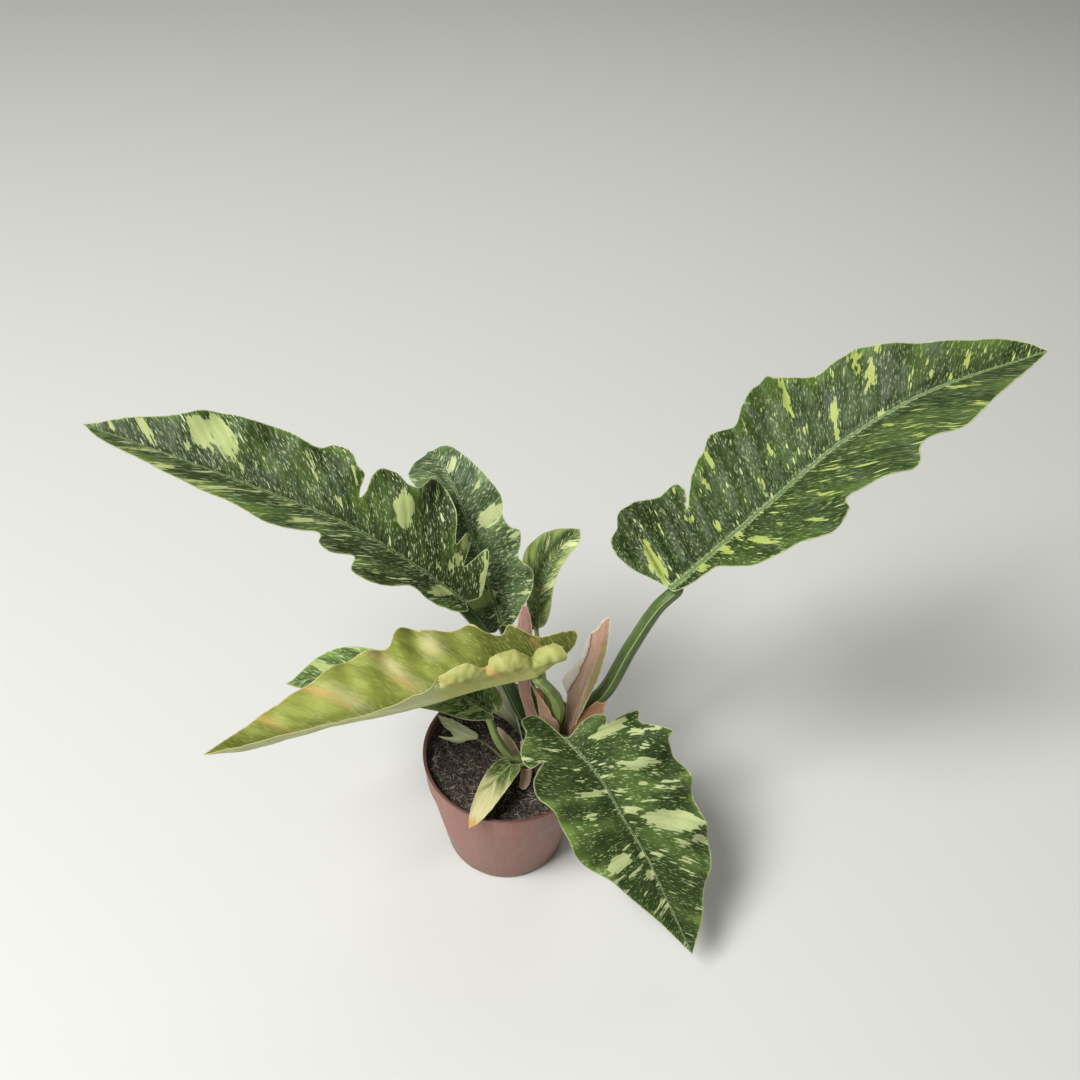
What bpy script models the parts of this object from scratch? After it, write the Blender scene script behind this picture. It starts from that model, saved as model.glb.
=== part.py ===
"""Ring of Fire philodendron together with its nursery pot.

Values are in millimetres and the scene is in metres. The pot stands on z = 0 and its axis is
the Z axis, with +X to the right and +Y to the back. A blade is drawn flat, as distances along
its rib and out from it, and is then bent onto its rib, so its outline stays a real size.
"""

import math
from bisect import bisect_right
from dataclasses import dataclass, replace

import bmesh
import bpy
from mathutils import Vector, geometry, noise

MM = 0.001
GAP = 0.3  # between pieces that touch

RIM_RADIUS = 60.0
RIM_TOP = 99.2
LIP_HEIGHT = 2.4
COLLAR_BOTTOM = 77.0
COLLAR_RADIUS = 58.2
STEP_TOP = 75.0  # the wall widens from here to the collar's bottom
STEP_RADIUS = 56.9
BASE_RADIUS = 43.4
WALL = 1.2
RIM_WALL = 1.0
FLOOR = 1.6
EDGE = 0.5  # rounding of the pot's edges
POT_SIDES = 64
DRAIN_SLOTS = 8
DRAIN_SLOT = (9.0, 9.0, 4.0)  # across, inwards and up

SOIL_TOP = 91.0
SOIL_BUMP = 1.3
SOIL_SIDES = 40
SOIL_RINGS = (52.0, 46.0, 40.0, 33.0, 26.0, 18.0, 9.0)
SOIL_GRAIN = 9.0

CROWN = (27.0, 8.0)
CROWN_RADIUS = 13.5
CROWN_TOP = 104.0
CROWN_ROOT = 66.0
SHOOT = (11.0, -8.0)  # a second, smaller shoot in front of the crown
SHOOT_RADIUS = 6.0
SHOOT_TOP = 97.0
SHOOT_ROOT = 74.0
STEM_SIDES = 32
STEM_RINGS = 3
STEM_ROUND = 0.8
STEM_GROOVE = 0.6

BLADE_THICKNESS = 0.8
RIB_THICKNESS = 2.6
RIB_HALF_WIDTH = 2.6
RIB_TAPER = 0.85  # share of the rib's extra thickness that is gone at the tip
RUFFLE_REACH = 35.0  # distance from the rib at which a wave has its full height
JOINT = 2.0  # distance along the rib at which a blade sits on its stalk
STALK_STEP = 11.0
THICKEST = 0.22  # share of a stalk's length

BLADE_GREEN = (0.035, 0.105, 0.025)
YOUNG_GREEN = (0.33, 0.40, 0.07)
PALE_GREEN = (0.42, 0.50, 0.20)
STALK_GREEN = (0.05, 0.14, 0.03)
YOUNG_STALK_GREEN = (0.16, 0.27, 0.05)
SHEATH_PINK = (0.47, 0.22, 0.18)
SHEATH_CREAM = (0.50, 0.45, 0.33)
SHEATH_DRY = (0.42, 0.17, 0.08)
STEM_GREEN = (0.12, 0.13, 0.05)
POT_BROWN = (0.22, 0.085, 0.065)
SOIL_BROWN = (0.022, 0.016, 0.012)


@dataclass(frozen=True)
class Half:
    """One side of a blade. A pair holds the value at the joint and the value at the tip."""

    outline: tuple  # (along the rib, out from the rib), from the joint to the tip
    fold: tuple  # degrees that the half rises out of the blade's plane
    curl: tuple = (0.0, 0.0)  # degrees that it bends in 10 mm
    roll_from: tuple = (500.0, 500.0)  # where its edge starts to roll up
    roll: tuple = (0.0, 0.0)  # degrees that the rolled edge bends in 10 mm
    ruffle: float = 0.0  # height of its waves
    wave: float = 30.0
    phase: float = 0.0


@dataclass(frozen=True)
class Blade:
    """A leaf blade or a sheath, from its joint to its tip."""

    name: str
    colour: tuple
    rib: tuple  # points of its rib
    faces: tuple  # the way its upper face looks, at the joint and at the tip
    left: Half  # seen along the rib with the face up
    right: Half
    spacing: float = 12.0
    edge_step: float = 7.0
    rib_thickness: float = RIB_THICKNESS


@dataclass(frozen=True)
class Stalk:
    """A leaf stalk, from the stem to just under the joint of its blade."""

    name: str
    colour: tuple
    points: tuple  # without the end at the blade, which is worked out
    radii: tuple  # at the stem, where it is thickest and at the blade


def smooth(points, step):
    """Points at most one step apart on a smooth curve through the given ones, which it keeps."""
    points = [Vector(point) for point in points]
    spans = [max((b - a).length, 1e-6) ** 0.5 for a, b in zip(points, points[1:])]
    slopes = [(points[1] - points[0]) / spans[0]]
    for i in range(1, len(points) - 1):
        before = (points[i] - points[i - 1]) / spans[i - 1]
        after = (points[i + 1] - points[i]) / spans[i]
        slopes.append((before * spans[i] + after * spans[i - 1]) / (spans[i] + spans[i - 1]))
    slopes.append((points[-1] - points[-2]) / spans[-1])
    curve = []
    for i, span in enumerate(spans):
        pieces = max(1, math.ceil((points[i + 1] - points[i]).length / step))
        for k in range(pieces):
            t = k / pieces
            curve.append(
                (2 * t**3 - 3 * t**2 + 1) * points[i]
                + (t**3 - 2 * t**2 + t) * span * slopes[i]
                + (3 * t**2 - 2 * t**3) * points[i + 1]
                + (t**3 - t**2) * span * slopes[i + 1]
            )
    return curve + [points[-1]]


class Rib:
    """A smooth line that is read by the distance along it."""

    STEP = 1.0
    REACH = 0.04  # share of the length over which its direction is taken

    def __init__(self, points, faces):
        self.points = smooth(points, self.STEP)
        self.places = [0.0]
        for a, b in zip(self.points, self.points[1:]):
            self.places.append(self.places[-1] + (b - a).length)
        self.length = self.places[-1]
        self.faces = [Vector(face) for face in faces]

    def inside(self, x):
        x = min(max(x, 0.0), self.length)
        i = min(bisect_right(self.places, x), len(self.places) - 1)
        share = (x - self.places[i - 1]) / (self.places[i] - self.places[i - 1])
        return self.points[i - 1].lerp(self.points[i], share)

    def direction(self, x):
        x = min(max(x, 0.0), self.length)
        reach = self.REACH * self.length
        return (self.inside(x + reach) - self.inside(x - reach)).normalized()

    def point(self, x):
        past = x - min(max(x, 0.0), self.length)
        return self.inside(x) + past * self.direction(x)

    def frame(self, x):
        """Along the rib, out of the face, and to the left."""
        share = min(max(x / self.length, 0.0), 1.0)
        along = self.direction(x)
        face = self.faces[0].lerp(self.faces[-1], share)
        face = (face - face.dot(along) * along).normalized()
        return along, face, face.cross(along)


def arc(angle, bend, length):
    """Across and up at the end of an arc that starts at an angle and bends evenly."""
    if abs(bend * length) < 1e-6:
        return length * math.cos(angle), length * math.sin(angle)
    end = angle + bend * length
    return (math.sin(end) - math.sin(angle)) / bend, (math.cos(angle) - math.cos(end)) / bend


def bent(blade, rib, x, y):
    """The place of a flat point of the blade. Its y is positive on the left half."""
    half = blade.left if y >= 0 else blade.right
    out = abs(y)
    share = min(max(x / rib.length, 0.0), 1.0)

    def value(pair):
        return pair[0] * (1 - share) + pair[1] * share

    fold = math.radians(value(half.fold))
    curl = math.radians(value(half.curl)) / 10
    roll = math.radians(value(half.roll)) / 10
    flat = min(out, value(half.roll_from))
    across, up = arc(fold, curl, flat)
    if out > flat:
        more_across, more_up = arc(fold + curl * flat, curl + roll, out - flat)
        across += more_across
        up += more_up
    wave = math.sin(math.tau * x / half.wave + half.phase)
    up += half.ruffle * wave * (out / RUFFLE_REACH) ** 2
    _, face, left = rib.frame(x)
    side = -1 if y < 0 else 1
    return rib.point(x) + side * across * left + up * face


def ring_of(blade, rib):
    """The blade's flat outline, counterclockwise, and the place of its tip in it."""
    tip = Vector((rib.length, 0.0))
    sides = []
    for sign, half in ((1, blade.left), (-1, blade.right)):
        points = [Vector((0.0, 0.0))]
        points += [Vector((x, sign * y)) for x, y in half.outline]
        sides.append(smooth(points + [tip], blade.edge_step))
    left, right = sides
    right_way = right + left[::-1][1:-1]
    return right_way, len(right) - 1


def sides_of(ring):
    return zip(ring, ring[1:] + ring[:1])


def distance_to(point, ring):
    least = math.inf
    for a, b in sides_of(ring):
        foot, share = geometry.intersect_point_line(point, a, b)
        foot = a if share < 0 else b if share > 1 else foot.to_2d()
        least = min(least, (point - foot).length)
    return least


def encloses(ring, point):
    crossings = 0
    for a, b in sides_of(ring):
        if (a.y > point.y) != (b.y > point.y):
            crossings += point.x < a.x + (point.y - a.y) / (b.y - a.y) * (b.x - a.x)
    return crossings % 2 == 1


def beside_rib(rib, ring, steps):
    """Points on both sides of the rib, where its extra thickness ends."""
    for k in range(1, steps - 1):
        for side in (-1, 1):
            place = Vector((rib.length * (k + 0.5) / steps, side * RIB_HALF_WIDTH))
            if encloses(ring, place) and distance_to(place, ring) > 0.6 * RIB_HALF_WIDTH:
                yield place


def inside_rows(blade, ring):
    """Points in staggered rows between the rib and the edge."""
    has_rib = blade.rib_thickness > BLADE_THICKNESS
    first = (RIB_HALF_WIDTH if has_rib else 0.0) + 0.55 * blade.spacing
    height = math.sqrt(0.75) * blade.spacing
    near, far = min(p.x for p in ring), max(p.x for p in ring)
    for side in (-1, 1):
        reach = max(side * p.y for p in ring)
        for row in range(max(0, int((reach - first) / height) + 1)):
            x = near + (row % 2) * blade.spacing / 2
            while x < far:
                place = Vector((x, side * (first + row * height)))
                if encloses(ring, place) and distance_to(place, ring) > 0.5 * blade.spacing:
                    yield place
                x += blade.spacing


def flat_mesh(blade, rib):
    """Points and triangles of the blade laid flat, with its rib as a line of edges."""
    ring, tip = ring_of(blade, rib)
    points = list(ring)
    steps = max(3, round(rib.length / blade.spacing))
    line = [0]
    for k in range(1, steps):
        line.append(len(points))
        points.append(Vector((rib.length * k / steps, 0.0)))
    line.append(tip)
    if blade.rib_thickness > BLADE_THICKNESS:
        points.extend(beside_rib(rib, ring, steps))
    points.extend(inside_rows(blade, ring))
    edges = list(zip(line, line[1:]))
    flat, _, triangles, *_ = geometry.delaunay_2d_cdt(
        points, edges, [list(range(len(ring)))], 1, 1e-4
    )
    return flat, triangles


def material(name, colour, roughness):
    made = bpy.data.materials.new(name)
    made.use_nodes = True
    shader = made.node_tree.nodes["Principled BSDF"]
    shader.inputs["Base Color"].default_value = (*colour, 1.0)
    shader.inputs["Roughness"].default_value = roughness
    shader.inputs["Metallic"].default_value = 0.0
    return made


def add_object(name, data, collection, colour, roughness=0.5, place=(0, 0, 0)):
    made = bpy.data.objects.new(name, data)
    data.materials.append(material(name, colour, roughness))
    made.location = Vector(place) * MM
    collection.objects.link(made)
    return made


def make_blade(blade, collection):
    """An open surface bent onto its rib, thickened on its underside and most at the rib."""
    rib = Rib(blade.rib, blade.faces)
    flat, triangles = flat_mesh(blade, rib)
    start = Vector(blade.rib[0])
    shape = bmesh.new()
    corners = [shape.verts.new((bent(blade, rib, p.x, p.y) - start) * MM) for p in flat]
    for triangle in triangles:
        shape.faces.new([corners[i] for i in triangle])
    mesh = bpy.data.meshes.new(blade.name)
    shape.to_mesh(mesh)
    shape.free()
    made = add_object(blade.name, mesh, collection, blade.colour, 0.4, blade.rib[0])
    weights = made.vertex_groups.new(name="rib")
    for i, p in enumerate(flat):
        on_rib = abs(p.y) < 1e-3 and 0 <= p.x < rib.length
        weight = 1 - RIB_TAPER * p.x / rib.length if on_rib else 0.0
        weights.add([i], weight, "REPLACE")
    solid = made.modifiers.new("thickness", "SOLIDIFY")
    solid.thickness = blade.rib_thickness * MM
    solid.offset = -1.0
    solid.vertex_group = weights.name
    solid.thickness_vertex_group = BLADE_THICKNESS / blade.rib_thickness
    return rib


def stalk_radius(stalk, share):
    foot, middle, neck = stalk.radii
    if share < THICKEST:
        return foot + (middle - foot) * share / THICKEST
    return middle + (neck - middle) * (share - THICKEST) / (1 - THICKEST)


def make_stalk(stalk, blade, rib, collection):
    """A tapering tube that ends under its blade's rib, one gap clear of it."""
    _, face, _ = rib.frame(JOINT)
    rise = (rib.point(JOINT) - Vector(stalk.points[-1])).normalized()
    tilt = math.sqrt(max(0.0, 1 - rise.dot(face) ** 2))
    drop = blade.rib_thickness + 2 * GAP + stalk.radii[2] * tilt
    end = rib.point(JOINT) - drop * face
    route = smooth([*stalk.points, end], STALK_STEP)
    curve = bpy.data.curves.new(stalk.name, "CURVE")
    curve.dimensions = "3D"
    curve.bevel_depth = MM
    curve.bevel_resolution = 2
    curve.use_fill_caps = True
    spline = curve.splines.new("POLY")
    spline.points.add(len(route) - 1)
    start = Vector(stalk.points[0])
    for k, (knot, place) in enumerate(zip(spline.points, route)):
        knot.co = (*((place - start) * MM), 1.0)
        share = k / (len(route) - 1)
        knot.radius = stalk_radius(stalk, share)
    add_object(stalk.name, curve, collection, stalk.colour, 0.4, start)


def turned(name, profile, steps, collection, colour, roughness, place=(0, 0, 0)):
    """A profile of radius and height turned round a vertical axis."""
    shape = bmesh.new()
    corners = [shape.verts.new((radius * MM, 0.0, height * MM)) for radius, height in profile]
    for pair in zip(corners, corners[1:]):
        shape.edges.new(pair)
    mesh = bpy.data.meshes.new(name)
    shape.to_mesh(mesh)
    shape.free()
    made = add_object(name, mesh, collection, colour, roughness, place)
    screw = made.modifiers.new("turn", "SCREW")
    screw.axis = "Z"
    screw.steps = screw.render_steps = steps
    screw.use_merge_vertices = True
    screw.merge_threshold = 0.0001
    return made


def cut(target, cutter):
    """Takes the cutter out of the target, and keeps the cutter out of the render."""
    cutter.hide_render = True
    cutter.display_type = "WIRE"
    boolean = target.modifiers.new(f"cut by {cutter.name}", "BOOLEAN")
    boolean.operation = "DIFFERENCE"
    boolean.solver = "EXACT"
    boolean.object = cutter


def inner_radius(height):
    """The inside of the pot's wall at a height."""
    if height >= COLLAR_BOTTOM:
        share = (height - COLLAR_BOTTOM) / (RIM_TOP - COLLAR_BOTTOM)
        return COLLAR_RADIUS - WALL + share * (RIM_RADIUS - RIM_WALL - COLLAR_RADIUS)
    share = height / STEP_TOP
    return min(BASE_RADIUS + share * (STEP_RADIUS - BASE_RADIUS), STEP_RADIUS) - WALL


def make_pot(collection, cutters):
    lip_bottom = RIM_TOP - LIP_HEIGHT
    inside = (
        (0.0, FLOOR),
        (inner_radius(0.0) - 2 * EDGE, FLOOR),
        (inner_radius(FLOOR + 2 * EDGE), FLOOR + 2 * EDGE),
        (inner_radius(STEP_TOP), STEP_TOP),
        (inner_radius(COLLAR_BOTTOM), COLLAR_BOTTOM),
        (inner_radius(RIM_TOP), RIM_TOP - EDGE),
    )
    outside = (
        (inner_radius(RIM_TOP) + EDGE, RIM_TOP),
        (RIM_RADIUS - EDGE, RIM_TOP),
        (RIM_RADIUS, RIM_TOP - EDGE),
        (RIM_RADIUS, lip_bottom + EDGE),
        (RIM_RADIUS - 2 * EDGE, lip_bottom),
        (COLLAR_RADIUS, COLLAR_BOTTOM + EDGE),
        (COLLAR_RADIUS - EDGE, COLLAR_BOTTOM),
        (STEP_RADIUS, STEP_TOP),
        (BASE_RADIUS + EDGE, 3 * EDGE),
        (BASE_RADIUS - EDGE, 0.0),
        (0.0, 0.0),
    )
    profile = inside + outside
    pot = turned("pot", profile, POT_SIDES, collection, POT_BROWN, 0.45)
    slots = bmesh.new()
    across, inwards, up = DRAIN_SLOT
    for k in range(DRAIN_SLOTS):
        added = bmesh.ops.create_cube(slots, size=1.0)["verts"]
        angle = math.tau * (k + 0.5) / DRAIN_SLOTS
        for corner in added:
            x = BASE_RADIUS + corner.co.x * inwards
            y = corner.co.y * across
            corner.co = (
                (x * math.cos(angle) - y * math.sin(angle)) * MM,
                (x * math.sin(angle) + y * math.cos(angle)) * MM,
                corner.co.z * up * MM,
            )
    mesh = bpy.data.meshes.new("drain_slots")
    slots.to_mesh(mesh)
    slots.free()
    cutter = bpy.data.objects.new("drain_slots", mesh)
    cutters.objects.link(cutter)
    cut(pot, cutter)


def make_soil(collection, cutters):
    """Potting mix up to just under the collar's lip, with holes that the stems stand in."""
    rounding = 3.0
    profile = (
        *((radius, SOIL_TOP) for radius in (0.0, *reversed(SOIL_RINGS))),
        (inner_radius(SOIL_TOP) - GAP, SOIL_TOP),
        (inner_radius(COLLAR_BOTTOM) - GAP, COLLAR_BOTTOM + 1.0),
        (inner_radius(STEP_TOP) - GAP, STEP_TOP + 1.0),
        (inner_radius(FLOOR + rounding) - 2 * GAP, FLOOR + rounding),
        (inner_radius(FLOOR) - rounding - 2.0, FLOOR + GAP),
        (0.0, FLOOR + GAP),
    )
    soil = turned("soil", profile, SOIL_SIDES, collection, SOIL_BROWN, 0.95)
    bpy.context.view_layer.update()
    graph = bpy.context.evaluated_depsgraph_get()
    mesh = bpy.data.meshes.new_from_object(soil.evaluated_get(graph))
    soil.modifiers.clear()
    soil.data = mesh
    for corner in mesh.vertices:
        across = math.hypot(corner.co.x, corner.co.y) / MM
        if corner.co.z > (SOIL_TOP - GAP) * MM and across < SOIL_RINGS[0] + GAP:
            corner.co.z += SOIL_BUMP * noise.noise(corner.co / (SOIL_GRAIN * MM)) * MM
    for name, place, radius, root in (
        ("crown_hole", CROWN, CROWN_RADIUS, CROWN_ROOT),
        ("shoot_hole", SHOOT, SHOOT_RADIUS, SHOOT_ROOT),
    ):
        depth = SOIL_TOP + 3 * SOIL_BUMP - (root - GAP)
        hole = bmesh.new()
        bmesh.ops.create_cone(
            hole,
            cap_ends=True,
            segments=STEM_SIDES,
            radius1=(radius + GAP) * MM,
            radius2=(radius + GAP) * MM,
            depth=depth * MM,
        )
        mesh = bpy.data.meshes.new(name)
        hole.to_mesh(mesh)
        hole.free()
        cutter = bpy.data.objects.new(name, mesh)
        cutter.location = Vector((*place, root - GAP + depth / 2)) * MM
        cutters.objects.link(cutter)
        cut(soil, cutter)


def make_stem(name, place, radius, root, top, collection):
    """A short stem with the rings that old leaves leave, flat on top where its stalks stand."""
    shoulder = top - STEM_ROUND
    profile = [(0.0, top), (radius - STEM_ROUND, top), (radius, shoulder)]
    spacing = (top - SOIL_TOP) / STEM_RINGS
    for k in range(STEM_RINGS):
        ring = shoulder - (k + 0.6) * spacing
        profile.append((radius, ring + STEM_GROOVE))
        profile.append((radius - STEM_GROOVE, ring))
        profile.append((radius, ring - STEM_GROOVE))
    profile += [(radius, root + 0.3 * radius), (0.7 * radius, root), (0.0, root)]
    turned(name, profile, STEM_SIDES, collection, STEM_GREEN, 0.6, (*place, 0.0))


def sheath(name, colour, rib, faces, width, wrap, foot=0.8, belly=0.35, tip=0.35, left=None):
    """A papery sheath: a narrow blade that wraps round its face side.

    Its half width is reached at belly, a share of its length. Foot and tip are shares of it.
    Where the left half differs, left is its outline.
    """
    length = Rib(rib, faces).length
    half = Half(
        outline=(
            (0.0, foot * width),
            (belly * length, width),
            ((0.6 * belly + 0.5) * length, (0.5 + 0.6 * tip) * width),
            (0.92 * length, tip * width),
        ),
        fold=(0.0, 0.0),
        curl=wrap,
    )
    other = replace(half, outline=left) if left else half
    return Blade(name, colour, rib, faces, other, half, 7.0, 8.0, BLADE_THICKNESS)


LEFT_LEAF = Blade(
    name="leaf_left",
    colour=BLADE_GREEN,
    rib=((-29, 8, 239), (-62, 13, 265), (-104, 20, 290), (-155, 28, 307), (-206, 36, 322),
         (-258, 45, 335)),
    faces=((0.30, -0.38, 0.87), (0.32, -0.42, 0.85)),
    left=Half(
        outline=((-3, 5), (4, 12), (14, 16), (26, 18), (38, 17), (50, 25), (65, 32), (75, 30),
                 (77, 20), (92, 26), (99, 23), (101, 16), (127, 23), (147, 19), (186, 15),
                 (210, 11), (240, 6)),
        fold=(26, 16), curl=(-2, -2), ruffle=2.5, wave=30, phase=0.5,
    ),
    right=Half(
        outline=((-6, 8), (-2, 20), (7, 36), (11, 25), (14, 18), (19, 36), (24, 36), (26, 26),
                 (38, 44), (49, 55), (59, 52), (63, 42), (69, 40), (78, 45), (86, 43), (88, 31),
                 (95, 32), (105, 42), (115, 44), (122, 38), (131, 37), (149, 41), (166, 37),
                 (182, 37), (192, 34), (204, 26), (228, 15)),
        fold=(14, 12), curl=(-1, -1), ruffle=2.5, wave=34, phase=2.0,
    ),
)
RIGHT_LEAF = Blade(
    name="leaf_right",
    colour=BLADE_GREEN,
    rib=((98, 22, 246), (110, 26, 258), (149, 36, 306), (187, 46, 350), (229, 56, 380),
         (296, 70, 404)),
    faces=((-0.50, -0.42, 0.76), (-0.38, -0.50, 0.78)),
    left=Half(
        outline=((-2, 5), (-6, 13), (-12, 25), (-15, 39), (-12, 50), (-2, 57), (10, 58),
                 (17, 60), (33, 48), (44, 51), (47, 44), (41, 32), (48, 39), (60, 45), (71, 54),
                 (84, 54), (97, 52), (111, 54), (120, 61), (128, 61), (133, 53), (145, 44),
                 (165, 41), (174, 43), (184, 37), (211, 25), (242, 15), (254, 9)),
        fold=(14, 12), curl=(0, 0), ruffle=2.0, wave=26, phase=0.0,
    ),
    right=Half(
        outline=((2, 4), (13, 8), (35, 12), (45, 20), (61, 32), (82, 36), (99, 44), (114, 45),
                 (123, 43), (124, 36), (143, 36), (159, 42), (169, 40), (175, 31), (203, 31),
                 (226, 19), (245, 10)),
        fold=(22, 16), curl=(-2, -1), ruffle=2.5, wave=30, phase=1.0,
    ),
)
FRONT_LEAF = Blade(
    name="leaf_front",
    colour=BLADE_GREEN,
    rib=((38, -18, 140), (60, -34, 126), (80, -54, 104), (98, -71, 83), (116, -91, 55),
         (133, -110, 29)),
    faces=((0.20, -0.45, 0.80), (0.25, -0.55, 0.75)),
    left=Half(
        outline=((2, 3), (1, 15), (4, 26), (10, 30), (14, 27), (16, 36), (22, 51), (26, 46),
                 (30, 50), (38, 58), (40, 53), (59, 54), (80, 52), (92, 47), (104, 46),
                 (116, 43), (135, 29), (156, 16)),
        fold=(16, 8), curl=(-3, -2), ruffle=2.5, wave=30, phase=0.0,
    ),
    right=Half(
        outline=((-12, 1), (-24, 4), (-28, 14), (-20, 18), (-15, 28), (-9, 33), (-2, 33),
                 (1, 23), (3, 32), (7, 39), (15, 42), (27, 41), (55, 41), (66, 43), (79, 39),
                 (95, 31), (114, 24), (141, 12)),
        fold=(14, 8), curl=(-3, -2), ruffle=2.0, wave=32, phase=1.5,
    ),
)
BACK_LEAF = Blade(
    name="leaf_back",
    colour=BLADE_GREEN,
    rib=((-7, 22, 204), (-17, 36, 228), (-29, 52, 256), (-42, 70, 281), (-53, 86, 289),
         (-62, 100, 284)),
    faces=((0.10, -0.78, 0.62), (0.05, -0.55, 0.83)),
    left=Half(
        outline=((-3, 6), (4, 16), (20, 24), (40, 22), (62, 21), (86, 18), (105, 22), (116, 23),
                 (129, 18)),
        fold=(10, 8), curl=(-2, -2),
    ),
    right=Half(
        outline=((-2, 5), (9, 18), (19, 27), (30, 30), (41, 24), (48, 28), (57, 30), (61, 25),
                 (68, 23), (81, 26), (94, 22), (110, 16), (128, 8)),
        fold=(12, 8), curl=(-2, -2), ruffle=2.0, wave=28, phase=0.0,
    ),
)
NARROW_LEAF = Blade(
    name="leaf_narrow",
    colour=PALE_GREEN,
    rib=((16, 40, 182), (17, 47, 214), (26, 57, 239), (41, 66, 253)),
    faces=((0.2, -0.75, 0.6), (0.2, -0.75, 0.6)),
    left=Half(
        outline=((2, 5), (18, 9), (34, 11), (47, 19), (56, 22), (64, 19), (72, 13), (80, 5)),
        fold=(28, 20),
    ),
    right=Half(outline=((4, 5), (20, 9), (44, 8), (63, 8), (78, 6)), fold=(28, 20)),
    spacing=9.0,
    edge_step=6.0,
    rib_thickness=1.8,
)
YOUNG_LEAF = Blade(
    name="leaf_young",
    colour=YOUNG_GREEN,
    rib=((19, -24, 211), (-15, -32, 206), (-61, -43, 194), (-108, -54, 187), (-158, -65, 174),
         (-184, -72, 176)),
    faces=((0.0, -0.35, 0.93), (0.0, -0.45, 0.90)),
    left=Half(
        outline=((-10, 8), (-18, 14), (-13, 24), (-3, 25), (3, 19), (14, 27), (26, 26), (31, 19),
                 (42, 27), (54, 25), (64, 20), (78, 17), (90, 12), (109, 6), (130, 5), (150, 7),
                 (168, 10), (188, 9), (202, 6)),
        fold=(100, 96), roll_from=(10, 30), roll=(110, 0),
    ),
    right=Half(
        outline=((-14, 6), (-26, 14), (-28, 22), (-14, 23), (-3, 24), (5, 29), (13, 35),
                 (18, 30), (27, 33), (34, 40), (46, 40), (54, 42), (71, 51), (79, 47), (86, 42),
                 (108, 40), (125, 35), (142, 28), (169, 20), (193, 11)),
        fold=(24, 16), curl=(4, 4), ruffle=2.5, wave=24, phase=0.0,
    ),
    rib_thickness=2.2,
)
LOW_LEAF = Blade(
    name="leaf_low",
    colour=BLADE_GREEN,
    rib=((-11, -13, 156), (-44, -5, 171), (-94, 4, 173), (-153, 8, 149)),
    faces=((0.05, -0.25, 0.97), (0.05, -0.25, 0.97)),
    left=Half(
        outline=((-3, 3), (2, 7), (12, 13), (33, 18), (65, 21), (107, 18), (135, 8)),
        fold=(8, 8), curl=(-4, -4),
    ),
    right=Half(
        outline=((-4, 4), (-2, 12), (13, 19), (36, 17), (58, 14), (87, 15), (107, 18), (125, 15),
                 (142, 6)),
        fold=(10, 8), curl=(-2, -2),
    ),
    spacing=11.0,
    rib_thickness=1.8,
)
JUVENILE_LEAF = Blade(
    name="leaf_juvenile",
    colour=PALE_GREEN,
    rib=((3, -17, 105), (-5, -31, 109), (-13, -47, 108.5), (-22, -67, 101)),
    faces=((-0.1, -0.1, 1.0), (-0.1, -0.1, 1.0)),
    left=Half(outline=((-2, 3), (6, 9), (20, 12), (38, 11), (50, 6)), fold=(20, 20)),
    right=Half(outline=((-2, 3), (5, 7), (18, 8), (38, 6), (52, 3)), fold=(20, 20)),
    spacing=8.0,
    edge_step=6.0,
    rib_thickness=1.4,
)
TORN_LEAF = Blade(
    name="leaf_torn",
    colour=PALE_GREEN,
    rib=((-22, 12, 95), (-36, 16, 97.5), (-52, 23, 104)),
    faces=((0.1, -0.3, 0.95), (0.1, -0.3, 0.95)),
    left=Half(
        outline=((1, 2), (6, 5), (10, 9), (24, 13), (16, 7), (19, 5), (26, 4)),
        fold=(5, 5),
    ),
    right=Half(outline=((1, 2), (10, 4), (21, 4)), fold=(5, 5)),
    spacing=7.0,
    edge_step=6.0,
    rib_thickness=1.2,
)

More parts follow.
